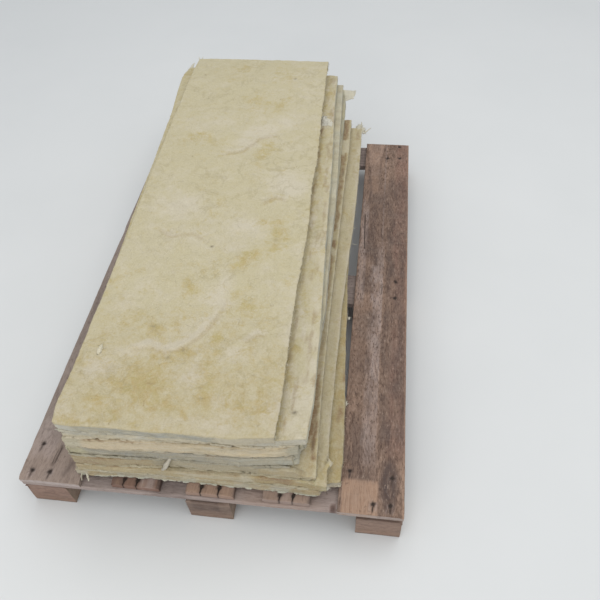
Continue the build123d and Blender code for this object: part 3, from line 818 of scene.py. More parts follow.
def flap(corners, z, thick, seed, curl=(0, 0)):
    """A thin torn flap of wool from four plan corners and the height at each."""
    c = [np.array((*p, h), float) for p, h in zip(corners, z)]
    span_u = np.linalg.norm(c[1] - c[0])
    span_v = np.linalg.norm(c[3] - c[0])
    n, m = max(9, int(span_u / 1.8)), max(9, int(span_v / 1.8))
    u, v = np.linspace(0, 1, n), np.linspace(0, 1, m)
    U, V = np.meshgrid(u, v)
    P = ((1 - U) * (1 - V))[..., None] * c[0] + (U * (1 - V))[..., None] * c[1] + (U * V)[..., None] * c[2] + ((1 - U) * V)[..., None] * c[3]
    edge = np.minimum(np.minimum(U, 1 - U), np.minimum(V, 1 - V))
    P[..., 0] += 4.2 * fbm(P[..., 0] / 8, P[..., 1] / 8, seed=seed) * (1 - edge)
    P[..., 1] += 4.2 * fbm(P[..., 0] / 8, P[..., 1] / 8, seed=seed + 3) * (1 - edge)
    P[..., 2] += curl[0] * U ** 2 + curl[1] * V ** 2 + 1.0 * fbm(P[..., 0] / 7, P[..., 1] / 7, seed=seed + 9)
    half = 0.5 * thick * np.sqrt(np.clip(edge * 2 + 0.06, 0, 1)) * (1 + 0.35 * fbm(P[..., 0] / 5, P[..., 1] / 5, seed=seed + 4))
    top, low = P.copy(), P.copy()
    top[..., 2] += half
    low[..., 2] -= half
    co = np.concatenate([top.reshape(-1, 3), low.reshape(-1, 3)])
    i = np.arange(n * m).reshape(m, n)
    q1 = np.stack([i[:-1, :-1], i[:-1, 1:], i[1:, 1:], i[1:, :-1]], -1).reshape(-1, 4)
    r = np.concatenate([i[0, :-1], i[:-1, -1], i[-1, :0:-1], i[:0:-1, 0]])
    k = n * m
    q3 = np.stack([r, r + k, np.roll(r, -1) + k, np.roll(r, -1)], 1)
    return co, np.concatenate([q1, q1[:, ::-1] + k, q3]), np.zeros((0, 3), int)


def make_slab(k):
    seed = 50 * k
    rng = np.random.default_rng(700 + k)
    edges = {s: ragged(PLAN[k][s], seed + 5 * i, 1.0, 1.5 if (k, s) == (7, "right") else 0.5)
             for i, s in enumerate(("near", "right", "far", "left"))}
    for a, b, ea, eb in (("near", "right", -1, 0), ("far", "right", -1, -1), ("near", "left", 0, 0), ("far", "left", 0, -1)):
        edges[b][eb] = edges[a][ea]
    wide, deep = 0.5 * (np.ptp(edges["near"][:, 0]) + np.ptp(edges["far"][:, 0])), np.ptp(edges["right"][:, 1])
    if k == 7:
        u = lines(wide, RIM, 3.15)
        v = lines(deep, RIM, 3.22)
    else:
        strip = {1: 60, 2: 62, 3: 60, 4: 30, 5: 40, 6: 92}[k]
        u = lines(wide, RIM, 4.8, [(wide - strip, wide, 2.9 if k in (6, 3, 2, 1) else 3.6)])
        v = lines(deep, RIM, 5.3 if k == 6 else 6.1, [(0, 40, 3.6)])
    P = coons(edges["near"], edges["right"], edges["far"], edges["left"], u, v)

    def ztop(x, y):
        if k == 7:
            h = LEVEL[7] - sag(y) - 0.3
            h = h + 1.9 * fbm(x / 135.0, y / 165.0, seed=11, octaves=2)
            h += 1.0 * fbm(x / 34.0, y / 40.0, seed=17, octaves=2)
            wx = x + 9 * fbm(x / 40.0, y / 40.0, seed=23)
            wy = y + 9 * fbm(x / 40.0, y / 40.0, seed=29)
            h += 0.9 * np.clip(1 - np.abs(vnoise(wx / 46.0, wy / 60.0, seed=37)) * 4.5, 0, 1) * (0.5 + 0.5 * vnoise(x / 120, y / 120, seed=41))
            h += 0.38 * fbm(x / 8.5, y / 8.5, seed=43, octaves=2)
            for line, width, height in CREASES:
                d, t = near_line(0.5 * (x + wx), 0.5 * (y + wy), line, True)
                fade = np.sin(np.clip(t, 0.01, 0.99) * math.pi) ** 0.7 * (0.7 + 0.5 * vnoise(x / 17.0, y / 17.0, seed=47))
                h += 2.3 * fade * height * step(-0.35 * width, 0.35 * width, d) * np.exp(-np.clip(d, 0, None) / (4.0 * width))
            h -= 0.7 * spots(x, y, DARK_SPOTS[7], 91, 1.0, 6.0)
            h -= 2.2 * np.exp(-np.hypot((x + 267) / 26, (y + 573) / 20) ** 2)
            h -= 1.2 * np.exp(-np.hypot((x - 149) / 22, (y + 552) / 18) ** 2)
            return h
        base = boundary(k, x, y) - 0.35
        if k < 7:
            ex = step(-2.0, 7.0, x - covered_right(k, y))
            relief = 0.7 * fbm(x / 20.0, y / 42.0, seed=seed + 61, octaves=3) + 0.35 * fbm(x / 7.0, y / 9.0, seed=seed + 67, octaves=2)
            base = base + ex * (relief + (0.8 if k == 6 else 0.4))
            if k == 2:
                d, t = near_line(x, y, [(245, -511), (240, -515), (236, -524)])
                base = base - 3.4 * np.exp(-(d / 1.6) ** 2) + 1.6 * np.exp(-np.hypot((x - 246) / 4.5, (y + 519) / 6.0) ** 2)
            if k == 3:
                base = base - 19.0 * step(-498, -560, y) * step(176, 204, x)
            if k == 6:
                d = x - covered_right(6, y)
                base += 1.2 * np.exp(-((d - 34) / 9) ** 2) * fbm(x / 60.0, y / 55.0, seed=77, octaves=2)
        return base

    def zbot(x, y):
        return boundary(k - 1, x, y) + (0.35 if k > 1 else 0.1)

    def rim(x, y):
        base = 1.5 + 1.0 * vnoise(x / 30.0, y / 30.0, seed=seed + 71) + 0.8 * step(-500, -540, y)
        if k == 7:
            base = 1.8 + 0.8 * vnoise(x / 40.0, y / 40.0, seed=seed + 71) + 1.2 * step(-520, -550, y) + 3.0 * step(-240, -262, x)
        return np.clip(base, 0.8, 7.5)

    def wall(x, y, z, t, side, nx, ny):
        lean = np.where(side == 0, LEAN[k], np.where(side == 1, LEAN_RIGHT[k], np.where(side == 2, -1.0, 0.4)))
        s = np.where(np.isin(side, (0, 2)), x, y)
        calm = np.where(side == 1, 0.55, 1.0) if k == 7 else 1.0
        bulge = calm * (0.25 + 0.8 * vnoise(s / 60.0, k + 0.5, seed=seed + 81)) * math.sin(math.pi * t)
        lam = 1.3 * vnoise(s / 24.0, 0.5, z / 5.4 + 0.2, seed=83)
        lam += 0.8 * vnoise(s / 9.0, 0.5, z / 3.0 + 0.2, seed=85)
        lam += 0.35 * vnoise(s / 3.6, 0.5, z / 1.8 + 0.2, seed=87)
        broad = 1.8 * vnoise(s / 60.0, 0.5, z / 24.0 + 0.2, seed=89) - 0.4
        fade = math.sin(math.pi * min(max(t, 0.10), 0.90)) ** 0.4
        return lean * t + bulge + calm * (lam + broad) * fade

    co, loops, starts, info = shell(P, ztop, zbot, rim, wall)
    uv = layout(co, loops, starts, info)
    x, y, z = co.T
    n = len(co)
    mask = np.zeros((n, 4))
    face = np.zeros((n, 4))
    face[:, 3] = 1
    top = info["region"] == 0
    mask[:, 0] = spots(x, y, OCHRE_SPOTS.get(k, []), seed + 5, 12.0, 24.0)
    mask[:, 1] = spots(x, y, PALE_SPOTS.get(k, []), seed + 9, 12.0, 30.0)
    mask[:, 2] = spots(x, y, BROWN_SPOTS.get(k, []), seed + 13, 5.0, 18.0)
    mask[:, 3] = spots(x, y, [(a, b, 0.62 * c, 0.62 * d, 0.62 * e) for a, b, c, d, e in DARK_SPOTS.get(k, [])], seed + 17, 1.5, 6.0)
    if k == 7:
        warm = 0.34 * step(-60, -420, y) * (1 - 0.55 * step(-500, -528, y + 9 * fbm(x / 30.0, 0.5, seed=431))) + 0.13 * step(-235, -275, x)
        mask[:, 0] = np.clip(1.12 * mask[:, 0], 0, 1)
        mask[:, 0] = 1 - (1 - mask[:, 0]) * (1 - warm)
        # each crease gets ochre beside it, a pale painted highlight on its ridge (lit) and painted brown shade along
        # its lower side
        for line, width, height in CREASES:
            d, t = near_line(x, y, line)
            mask[:, 0] = np.maximum(mask[:, 0], 0.45 * np.exp(-((d - 1.6 * width) / width) ** 2) * (t > 0) * (t < 1))
            d, t = near_line(x, y, line, True)
            ends = np.clip(np.minimum(t, 1 - t) * 5.0, 0, 1) * min(1.0, width / 4.0)
            lit = ends * np.exp(-((d - 1.4 * width + 2.5 * vnoise(x / 19.0, y / 19.0, seed=435)) / (1.9 * width)) ** 2)
            lit = lit * (min(1.0, height / 1.5) if width >= 4 else 0.0)
            mask[:, 1] = np.maximum(mask[:, 1], lit)
            mask[:, 0] = mask[:, 0] * (1 - 0.85 * lit)
            mask[:, 2] = np.maximum(mask[:, 2], 0.24 * ends * np.exp(-((d + 0.8 * width) / (0.9 * width + 0.8)) ** 2))
        rimrow = step(5.5, 0.5, np.abs(x - np.interp(y, np.array(PLAN[7]["right"])[:, 1], np.array(PLAN[7]["right"])[:, 0])))
        mask[:, 0] = np.where(top, np.maximum(mask[:, 0], 0.42 * rimrow * (0.5 + 0.5 * vnoise(y / 30.0, 0.5, seed=3))), mask[:, 0])
        mask[:, 2] = np.maximum(mask[:, 2], 0.13 * step(-180, -520, y) * top)
    beyond = step(-4.0, 2.0, x - covered_right(k, y))
    if k in (1, 3):
        mask[:, 0] = np.maximum(mask[:, 0], 0.45 if k == 3 else 0.60)
    if k == 1:
        mask[:, 2] = np.maximum(mask[:, 2], 0.26)
        for line in ([(256, -470), (263, -471), (269, -470)], [(257, -476), (262, -477), (267, -476)]):
            d, t = near_line(x, y, line)
            mask[:, 2] = np.maximum(mask[:, 2], 0.9 * np.exp(-(d / 1.4) ** 2))
    if k == 2:
        d, t = near_line(x, y, [(244, -511), (240, -515), (236.5, -523)])
        mask[:, 3] = np.maximum(mask[:, 3], 0.75 * np.exp(-(d / 1.5) ** 2))
    if k == 3:
        b = np.array(BROWN_LEDGE)
        wy = y + 12 * fbm(x / 7.0, y / 13.0, seed=221)
        edge = np.interp(y, np.array(PLAN[3]["right"])[:, 1], np.array(PLAN[3]["right"])[:, 0])
        lit = np.interp(wy, b[:, 0], b[:, 1]) * step(0.0, 9.0, edge - x + 3.0 * vnoise(y / 17.0, 0.5, seed=223) + 1.2 * vnoise(y / 5.0, 0.5, seed=225))
        lit = lit * (0.88 + 0.30 * vnoise(x / 5.0, y / 11.0, seed=227))
        lit = np.maximum(lit, np.exp(-((x - 211.5) / 4.6) ** 2 - ((y + 487) / 38.0) ** 4))
        lit = np.maximum(lit, np.exp(-((x - 214) / 6.5) ** 2 - ((y + 525) / 6.0) ** 2))
        mask[:, 2] = np.maximum(mask[:, 2], np.clip(lit, 0, 1))
        mask[:, 0] = np.maximum(mask[:, 0] * np.clip(0.3 + lit, 0, 1), 0.7 * np.exp(-((y - 62) / 16) ** 2))
        mask[:, 1] = np.maximum(mask[:, 1], 0.22 * (1 - lit) * beyond * (x > 190))
    if k == 6:
        mask[:, 1] = np.maximum(mask[:, 1], 0.75 * beyond * step(0.0, 0.55, fbm(x / 17.0, y / 42.0, seed=401)))
        mask[:, 2] = np.maximum(mask[:, 2], 0.36 * beyond * step(0.10, 0.60, fbm(x / 9.0, y / 34.0, seed=403)))
        mask[:, 0] = np.maximum(mask[:, 0], 0.55 * beyond * step(0.0, 0.5, fbm(x / 22.0, y / 60.0, seed=407)) * step(-400, -330, y))
        mask[:, 1] = np.maximum(mask[:, 1], 0.55 * beyond * step(-370, -430, y))
        # slab 6's ledge: paler away from slab 7's edge and ochre within 26 mm of it, partly staining and partly painted
        # shadow of slab 7's edge
        mask[:, 1] = np.maximum(mask[:, 1], 0.35 * step(20, 45, x - covered_right(6, y)))
        mask[:, 0] = np.maximum(mask[:, 0], 0.62 * step(26, 2, x - covered_right(6, y)) * (0.65 + 0.5 * vnoise(y / 55.0, 0.5, seed=433)))
    if k == 2:
        mask[:, 0] = np.maximum(mask[:, 0], 0.20 + 0.25 * step(-480, -540, y))
        mask[:, 2] = np.maximum(mask[:, 2], 0.13 + 0.10 * vnoise(x / 9.0, y / 26.0, seed=405))
        mask[:, 1] = np.maximum(mask[:, 1], 0.45 * step(8, 2, np.interp(y, np.array(PLAN[2]["right"])[:, 1], np.array(PLAN[2]["right"])[:, 0]) - x))
    wallish = info["region"] > 0
    mask[wallish, 0] = 0
    mask[wallish, 1] = 0
    mask[wallish, 2] *= 0.6
    mask[wallish, 3] = 0
    nearside = info["side"] == 0
    ne = np.array(PLAN[k]["near"], float)
    lip = top & (y < np.interp(x, ne[:, 0], ne[:, 1]) + 9)
    front = nearside | (lip & (beyond < 0.5) & (k < 7))

    def marked(table, seed_):
        wx = x + 5 * fbm(x / 12.0, z / 6.0, seed=seed_)
        wz = z + 2.4 * fbm(x / 9.0, z / 5.0, seed=seed_ + 3)
        out = np.zeros(n)
        for x0, x1, z0, z1, v in table:
            out = np.maximum(out, v * step(x0 - 4, x0 + 2, wx) * step(x1 + 4, x1 - 2, wx) * step(z0 - 2.2, z0 + 1, wz) * step(z1 + 2.2, z1 - 1, wz))
        return out * (nearside | lip)
    stained = marked(OCHRE_MARKS, 231)
    mask[:, 0] = np.maximum(mask[:, 0] * np.where(front, 0.35, 1.0), 0.55 * stained)
    marks = marked(BROWN_MARKS, 241) * np.clip(0.60 + 0.70 * vnoise(x / 5.0, z / 3.0, seed=243), 0, 1)
    mask[:, 2] = np.maximum(mask[:, 2] * np.where(front, 0.4, 1.0), 0.55 * marks * lip)
    mask[:, 3] = np.maximum(mask[:, 3], 0.06 * marks)
    t = info["depth"]
    face[:, 0] = np.where(wallish, step(0.0, 0.10, t), 0.0)
    if k in (4, 5):
        face[:, 0] = np.maximum(face[:, 0], 0.85 * beyond * top)
    if k < 7:
        face[:, 0] = np.where(front, 0.94, face[:, 0])
    side = info["side"]
    s = np.where((side == 0) | (side == 2), x, y)
    var = 0.5 + 0.5 * fbm(s / 70.0, z / 30.0, seed=seed + 97, octaves=2)
    tint = np.ones((n, 4))
    for c in range(3):
        tint[:, c] = np.where(front, TONE[k][c], SIDE_TONE[k][c]) * (1 + 0.30 * (var - 0.5)) * (1 + 0.13 * vnoise(s / 13.0, z / 5.0, seed=421))
    hue = vnoise(s / 21.0, z / 9.0, seed=423)
    tint[:, 0] *= 1 + 0.05 * hue
    tint[:, 2] *= 1 - 0.10 * hue
    for x0, x1, tone in PATCHED.get(k, []):
        wx = x + 9 * fbm(x / 22.0, z / 9.0, seed=seed + 101)
        lit = step(x0 - 9, x0 + 9, wx) * step(x1 + 9, x1 - 9, wx) * front * 0.9
        tint[:, :3] = tint[:, :3] * (1 - lit[:, None]) + np.array(tone) * lit[:, None]
    brown = np.where(front, BROWNED[k], 0.35 * BROWNED[k])
    if k == 3:
        brown = np.where(front, 0.30 + 0.40 * step(-80, -130, x), brown)
    if k == 2:
        brown = np.where(front, 0.25 + 0.40 * step(95, 120, x) * step(190, 160, x) + 0.25 * step(-120, -180, x), brown)
    seamy = np.maximum(step(0.82, 1.0, t), 0.65 * step(0.16, 0.02, t))
    face[:, 2] = np.clip(brown * (0.5 + 1.2 * (var - 0.25)) + 0.24 * seamy * (vnoise(s / 14.0, k + 0.5, seed=seed + 99) > -0.1), 0, 1)
    face[:, 2] = np.maximum(face[:, 2], 0.9 * marks)
    face[:, 2] = np.maximum(face[:, 2], 0.46 * stained)
    parts = [(co, None, None)]

    # loose fibres, tufts and flaps
    ring, nrm, rs = info["ring"], info["normal"], info["ring_side"]
    tall = LEVEL[k] - LEVEL[k - 1] - 4
    extra = []
    if k == 7:
        extra.append(strands(rng, ring, nrm, rs, 620, (0, 1, 2, 3), tall))
        extra.append(strands(rng, ring, nrm, rs, 330, (1,), 2.5, (2.0, 5.5), 1.1, (0.45, 0.95)))
        extra.append(strands(rng, ring, nrm, rs, 60, (2, 3), 2.5, (2.0, 6.0), 1.0, (0.4, 0.8)))
        m = 240
        px = rng.uniform(-250, 130, m)
        py = rng.uniform(-555, 735, m)
        root = np.stack([px, py, ztop(px, py) - 0.1], 1)
        a = rng.uniform(0, 2 * math.pi, m)
        head = np.stack([np.cos(a), np.sin(a), rng.uniform(0.02, 0.16, m)], 1)
        length = rng.uniform(4, 15, m)
        curl = np.stack([rng.normal(0, 0.35, m), rng.normal(0, 0.35, m), rng.uniform(-0.12, -0.02, m)], 1) * length[:, None]
        extra.append(tubes(root, head, length, rng.uniform(0.16, 0.30, m), curl))
    else:
        extra.append(strands(rng, ring, nrm, rs, 300, (0, 1), tall))
        extra.append(strands(rng, ring, nrm, rs, 90, (1,), 3.0, (2.0, 5.0), 1.0, (0.4, 0.8)))
        extra.append(strands(rng, ring, nrm, rs, 110, (2, 3), tall))
    tufts, paint = [], []

    plain = (0.57, 0.53, 0.405)

    def tuft(center, half, turn=0.0, hairs=9, tone=(0, 0.6, 0, 0), rough=0.42, tint_=plain):
        s = 900 + 13 * len(tufts) + k
        tufts.append(blob(center, half, s, turn, rough))
        paint.append((len(tufts[-1][0]), tone, tint_))
        c = np.array(center, float)
        h = rng.normal(0, 1, (hairs, 3))
        h[:, 2] = np.abs(h[:, 2]) * 0.5
        root = c + h / (np.linalg.norm(h, axis=1, keepdims=True) + 1e-6) * np.array(half) * 0.7
        tufts.append(tubes(root, h, rng.uniform(0.5, 1.2, hairs) * max(half), rng.uniform(0.2, 0.45, hairs),
                           rng.normal(0, 1, (hairs, 3)) * max(half) * 0.3))
        paint.append((len(tufts[-1][0]), tone, tint_))

    def sheet(corners, zs, thick, tone=(0, 0.3, 0, 0), curl=(0, 0), tint_=plain):
        tufts.append(flap(corners, zs, thick, 930 + 7 * len(tufts) + k, curl))
        paint.append((len(tufts[-1][0]), tone, tint_))

    def pull(points, radii, tone=(0, 0.5, 0, 0), flat=1.0, steps=22, tint_=plain):
        tufts.append(wisp(points, radii, 960 + 5 * len(tufts) + k, steps=steps, flat=flat))
        paint.append((len(tufts[-1][0]), tone, tint_))

    def lump(center, half, tone, tint_, rough=0.34):
        tufts.append(blob(center, half, 1300 + 11 * len(tufts) + k, 0.0, rough, 12, 7))
        paint.append((len(tufts[-1][0]), tone, tint_))

    if k > 1:
        ne0 = np.array(PLAN[k - 1]["near"], float)
        px = max(ne[0, 0], ne0[0, 0]) + 12
        last = min(ne[-1, 0], ne0[-1, 0]) - 14
        while px < last:
            wide = rng.uniform(6, 17)
            shade = (np.array(TONE[k]) * 0.5 + np.array(TONE[k - 1]) * 0.5) * rng.uniform(0.88, 1.06)
            if rng.uniform() < 0.80:
                py = max(np.interp(px, ne[:, 0], ne[:, 1]), np.interp(px, ne0[:, 0], ne0[:, 1]))
                lump((px, py + rng.uniform(-0.2, 1.0), LEVEL[k - 1] + rng.uniform(0.4, 2.0)), (wide, rng.uniform(2.6, 3.8), rng.uniform(2.4, 4.0)), (0, 0, rng.uniform(0, 0.35), 0), tuple(shade))
            px += wide * rng.uniform(0.75, 1.35)
    if k == 1:
        px = -262.0
        while px < 222:
            wide = rng.uniform(5, 13)
            py = float(np.interp(px, ne[:, 0], ne[:, 1]))
            shade = np.array((0.40, 0.405, 0.335)) * rng.uniform(0.85, 1.12)
            lump((px, py + rng.uniform(-0.8, 1.2), 113.0 + rng.uniform(-0.6, 1.4)), (wide, rng.uniform(2.0, 3.6), rng.uniform(1.6, 3.0)), (0, rng.uniform(0, 0.3), 0, 0), tuple(shade), 0.38)
            px += wide * rng.uniform(0.9, 2.0)
    if k == 7:
        cream = (0.60, 0.545, 0.40)
        tuft((-229, -396, 310.6), (4.6, 12.5, 3.4), 0.0, 5, (0, 0.2, 0, 0), 0.16, cream)
        # a thin dark smear beside the tuft is its painted shadow
        tuft((-222.5, -404, 309.0), (2.0, 8.5, 0.7), 0.05, 0, (0.3, 0, 0.6, 0.55), 0.3)
        pull([(-284, 748, 294), (-289, 757, 296), (-292, 767, 297)], [2.4, 1.4, 0.4])
        pull([(-276, 750, 294), (-279, 760, 296), (-277, 768, 297)], [1.8, 1.0, 0.3])
        for cx, cy, r in ((-60, -12, 3.0), (92, 212, 3.4), (-190, 236, 2.6), (12, 520, 3.0), (-236, 640, 3.6), (100, -250, 2.6)):
            tuft((cx, cy, float(ztop(np.array([cx * 1.0]), np.array([cy * 1.0]))[0]) - 0.1), (r * 1.5, r * 0.8, r * 0.22), cx, 5, (0.5, 0, 0.2, 0))
    if k == 6:
        white = (0.62, 0.615, 0.555)
        sheet([(-333, 690), (-314, 690), (-315, 782), (-322, 782)], [268, 271, 263, 261], 5.0, (0.1, 0.6, 0, 0))
        pull([(-320, 742, 265), (-320, 768, 264), (-317, 791, 261)], [3.4, 3.0, 0.6], flat=0.6)
        sheet([(137, 440), (152, 436), (151, 489), (132, 487)], [280.9, 281.0, 280.5, 280.6], 1.8, (0, 1, 0, 0), (0, 0), white)
        sheet([(149, 445), (169, 437), (166, 474), (148, 480)], [280.5, 280.4, 280.3, 280.4], 1.1, (0, 0.7, 0, 0), (0, 0), (0.52, 0.51, 0.445))
        tuft((141, 474, 281.0), (6.0, 11, 1.5), 0.2, 26, (0, 1, 0, 0), 0.5, white)
        tuft((146, 452, 281.0), (7.0, 8, 1.4), -0.4, 26, (0, 1, 0, 0), 0.5, white)
    if k == 5:
        # the dark olive tint of the first tuft is painted shade of the hollow at slab 5's near right corner
        olive = (0.36, 0.345, 0.255)
        tuft((193, -529, 238), (5.0, 6.0, 12), 0.3, 26, (0.15, 0.1, 0, 0), 0.55, olive)
        tuft((198, -523, 230), (4.0, 6.0, 8), 0.5, 26, (0.1, 0.3, 0, 0), 0.60, (0.45, 0.43, 0.33))
    if k == 4:
        sheet([(191, 667), (214, 686), (221, 735), (178, 736)], [216, 214, 212, 213], 5.0, (0.15, 0.5, 0, 0))
        tuft((200, 690, 215), (7, 9, 2.0), 0.4, 14, (0.1, 0.6, 0, 0), 0.45)
        tuft((212, 722, 213), (7, 9, 1.8), 0.4, 14, (0.1, 0.6, 0, 0), 0.45)
        # the first flap's dark tint is painted shade along slab 4's shaded right wall
        painted_shade_tint = (0.36, 0.35, 0.285)
        sheet([(170, -552), (190, -546), (194, -500), (180, -500)], [199, 196, 198, 214], 9.0, (0.1, 0.1, 0, 0), (0, 0), painted_shade_tint)
        sheet([(172, -548), (186, -541), (190, -500), (182, -500)], [211, 207, 208, 216], 8.0, (0.1, 0.2, 0, 0), (0, 0), (0.42, 0.40, 0.32))
    if k == 3:
        pale = (0.43, 0.395, 0.335)
        pull([(-88, -564, 152), (-82, -570, 164), (-74, -570, 180), (-64, -560, 196)], [2.4, 5.0, 6.6, 4.0], (0, 0.10, 0, 0), 0.62, 26, pale)
    if k == 2:
        sheet([(232, 588), (250, 586), (256, 622), (230, 628)], [157, 156, 154, 155.5], 4.5, (0.15, 0.5, 0, 0))
        tuft((241, 624, 156), (8, 9, 2.2), 0.3, 26, (0.1, 0.6, 0, 0), 0.55)
        tuft((252, 606, 155), (6, 9, 2.4), 0.2, 26, (0.1, 0.6, 0, 0), 0.55)
        pull([(252, 588, 155), (262, 598, 155.5), (277, 620, 155)], [2.4, 2.6, 0.7])
        pull([(252, 612, 155), (259, 600, 154), (262, 588, 153)], [2.4, 2.2, 0.8])
        pull([(244, 622, 156), (247, 636, 158), (244, 644, 159)], [2.6, 1.8, 0.5])
        pull([(249, 104, 153), (257, 101, 151), (265, 106, 150)], [0.5, 0.5, 0.25], (0, 1, 0, 0))
        pull([(250, 158, 153), (257, 166, 151), (263, 163, 150)], [0.5, 0.5, 0.25], (0, 1, 0, 0))
        tuft((247, -521, 154.5), (4.4, 6.0, 4.0), -0.1, 10, (0.2, 0.3, 0, 0), 0.30, (0.52, 0.46, 0.32))
        tuft((245, -566, 138), (3.4, 3.4, 6.0), 0.0, 14, (0, 0.8, 0, 0), 0.40)
    if k == 1:
        pull([(-265, -573, 116), (-266, -582, 112.5), (-262, -590, 111)], [1.8, 1.5, 0.7], (0.1, 0.2, 0.1, 0), 1.0, 22, (0.42, 0.40, 0.33))
        pull([(-258, -570, 117), (-252, -581, 113.5), (-247, -590, 111.5)], [3.0, 2.8, 1.3], (0, 0.4, 0, 0), 1.0, 22, (0.50, 0.465, 0.37))
        tuft((-262, -573, 115), (7.0, 4.0, 4.5), 0.1, 26, (0, 0.4, 0, 0), 0.5, (0.47, 0.455, 0.37))
        tuft((258, -117, 113), (3.2, 4.2, 2.6), 0.2, 12, (0, 0.8, 0, 0), 0.4)
        tuft((268, -356, 113), (2.6, 5.5, 2.4), 0.2, 14, (0, 0.8, 0, 0), 0.4)
        tuft((268, -547, 117), (4, 4, 4), 0.2, 8, (0.1, 0.4, 0, 0))
    bits = extra + tufts
    bco, bloops, bstarts = join(bits)
    bmask = np.zeros((len(bco), 4))
    bmask[:, 1] = 0.5
    at = sum(len(e[0]) for e in extra)
    btint = np.tile([0.60, 0.56, 0.43, 1.0], (len(bco), 1))
    for count, tone, tint_ in paint:
        bmask[at:at + count] = tone
        btint[at:at + count, :3] = tint_
        at += count
    bface = np.zeros((len(bco), 4))
    bface[:, 3] = 1
    bface[sum(len(e[0]) for e in extra):, 0] = 1.0
    # the loose bits share the empty strip at the end of the map
    bp = bco[bloops]
    f = np.stack([(bp[:, 1] - co[:, 1].min()) / np.ptp(co[:, 1]) * 0.95 + 0.02,
                  0.965 - 0.055 * ((bp[:, 0] * 0.37 + bp[:, 2] * 0.61) / 40.0 % 1.0)], 1)
    allco = np.concatenate([co, bco])
    allloops = np.concatenate([loops, bloops + len(co)])
    allstarts = np.concatenate([starts, bstarts + len(loops)])
    return (build("slab_%d_wool" % k, allco, allloops, allstarts,
                  {"mask": np.concatenate([mask, bmask]), "face": np.concatenate([face, bface]),
                   "tint": np.concatenate([tint, btint])}, np.concatenate([uv, f])))


WOOL = {k: wool("glass_wool_%d" % k, (0.31 * k, 0.17 * k, 0.0), 0.12 if k in (1, 3) else 0.0) for k in range(1, 8)}
for k in range(1, 8):
    ob = make_slab(k)
    ob.data.materials.append(WOOL[k])
    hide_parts("insulation_slab_%d" % k)
    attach(ob, "root")


# ---------------------------------------------------------------------------
# Pallet timber
# ---------------------------------------------------------------------------

NAILS = {
    "deck_board_left": [(-376, -579), (-337, -578), (-375, -518), (-374, 22), (-335, -31), (-330, 24),
                        (-372, 588), (-335, 530), (-374, 527)],
    "deck_board_2": [(-174, -578), (-146, -577), (-176, -20), (-128, 18), (-176, 560), (-126, 572)],
    "deck_board_3": [(-11, -576), (26, -574), (-14, 20), (28, -26), (-12, 572), (30, 558)],
    "deck_board_4": [(151, -578), (178, -575), (140, -22), (188, 16), (142, 558), (190, 572)],
    "deck_board_right": [(338, -577), (372, -577), (288, -512), (374, -519), (370, 16), (369, -39),
                         (371, 589), (335, 528), (373, 531)],
}

# splits in the deck: line, half width and depth
SPLITS = {
    "deck_board_left": [([(-331, -524), (-332, -540), (-334, -558)], 0.8, 0.9), ([(-337, -530), (-339, -546), (-339, -560)], 0.6, 0.5),
                        ([(-300, 330), (-302, 470), (-299, 560)], 0.9, 1.3)],
    "deck_board_2": [([(-174, -576), (-175, -584), (-175.5, -592)], 1.8, 2.6), ([(-146, -575), (-147, -584), (-147.5, -592)], 1.8, 2.6)],
    "deck_board_3": [([(-11, -574), (-12, -584), (-12.5, -592)], 1.8, 2.6), ([(26, -572), (25, -584), (24.5, -592)], 1.8, 2.6)],
    "deck_board_4": [([(151, -576), (150.5, -584), (150, -590)], 1.6, 2.2), ([(178, -573), (177.5, -580), (177, -586)], 1.6, 2.0)],
    "deck_board_right": [([(284, 130), (281, 190), (279, 262)], 1.4, 2.8), ([(338, -580), (337, -592)], 0.9, 1.8),
                         ([(372, -580), (372, -593)], 0.9, 1.8), ([(334, -30), (336, -14), (333, 2)], 0.8, 1.0)],
}


def wander(pts, seed, size):
    p = along(pts, np.linspace(0, 1, 160))
    d = np.gradient(p, axis=0)
    d /= np.linalg.norm(d, axis=1, keepdims=True)
    s = np.r_[0, np.cumsum(np.linalg.norm(np.diff(p, axis=0), axis=1))]
    off = size * vnoise(s / 110.0, seed + 0.5, seed=seed) + 0.4 * size * vnoise(s / 19.0, seed + 0.5, seed=seed + 1)
    return p + np.stack([d[:, 1], -d[:, 0]], 1) * (off * np.clip(np.minimum(s, s[-1] - s) / 10.0, 0, 1))[:, None]


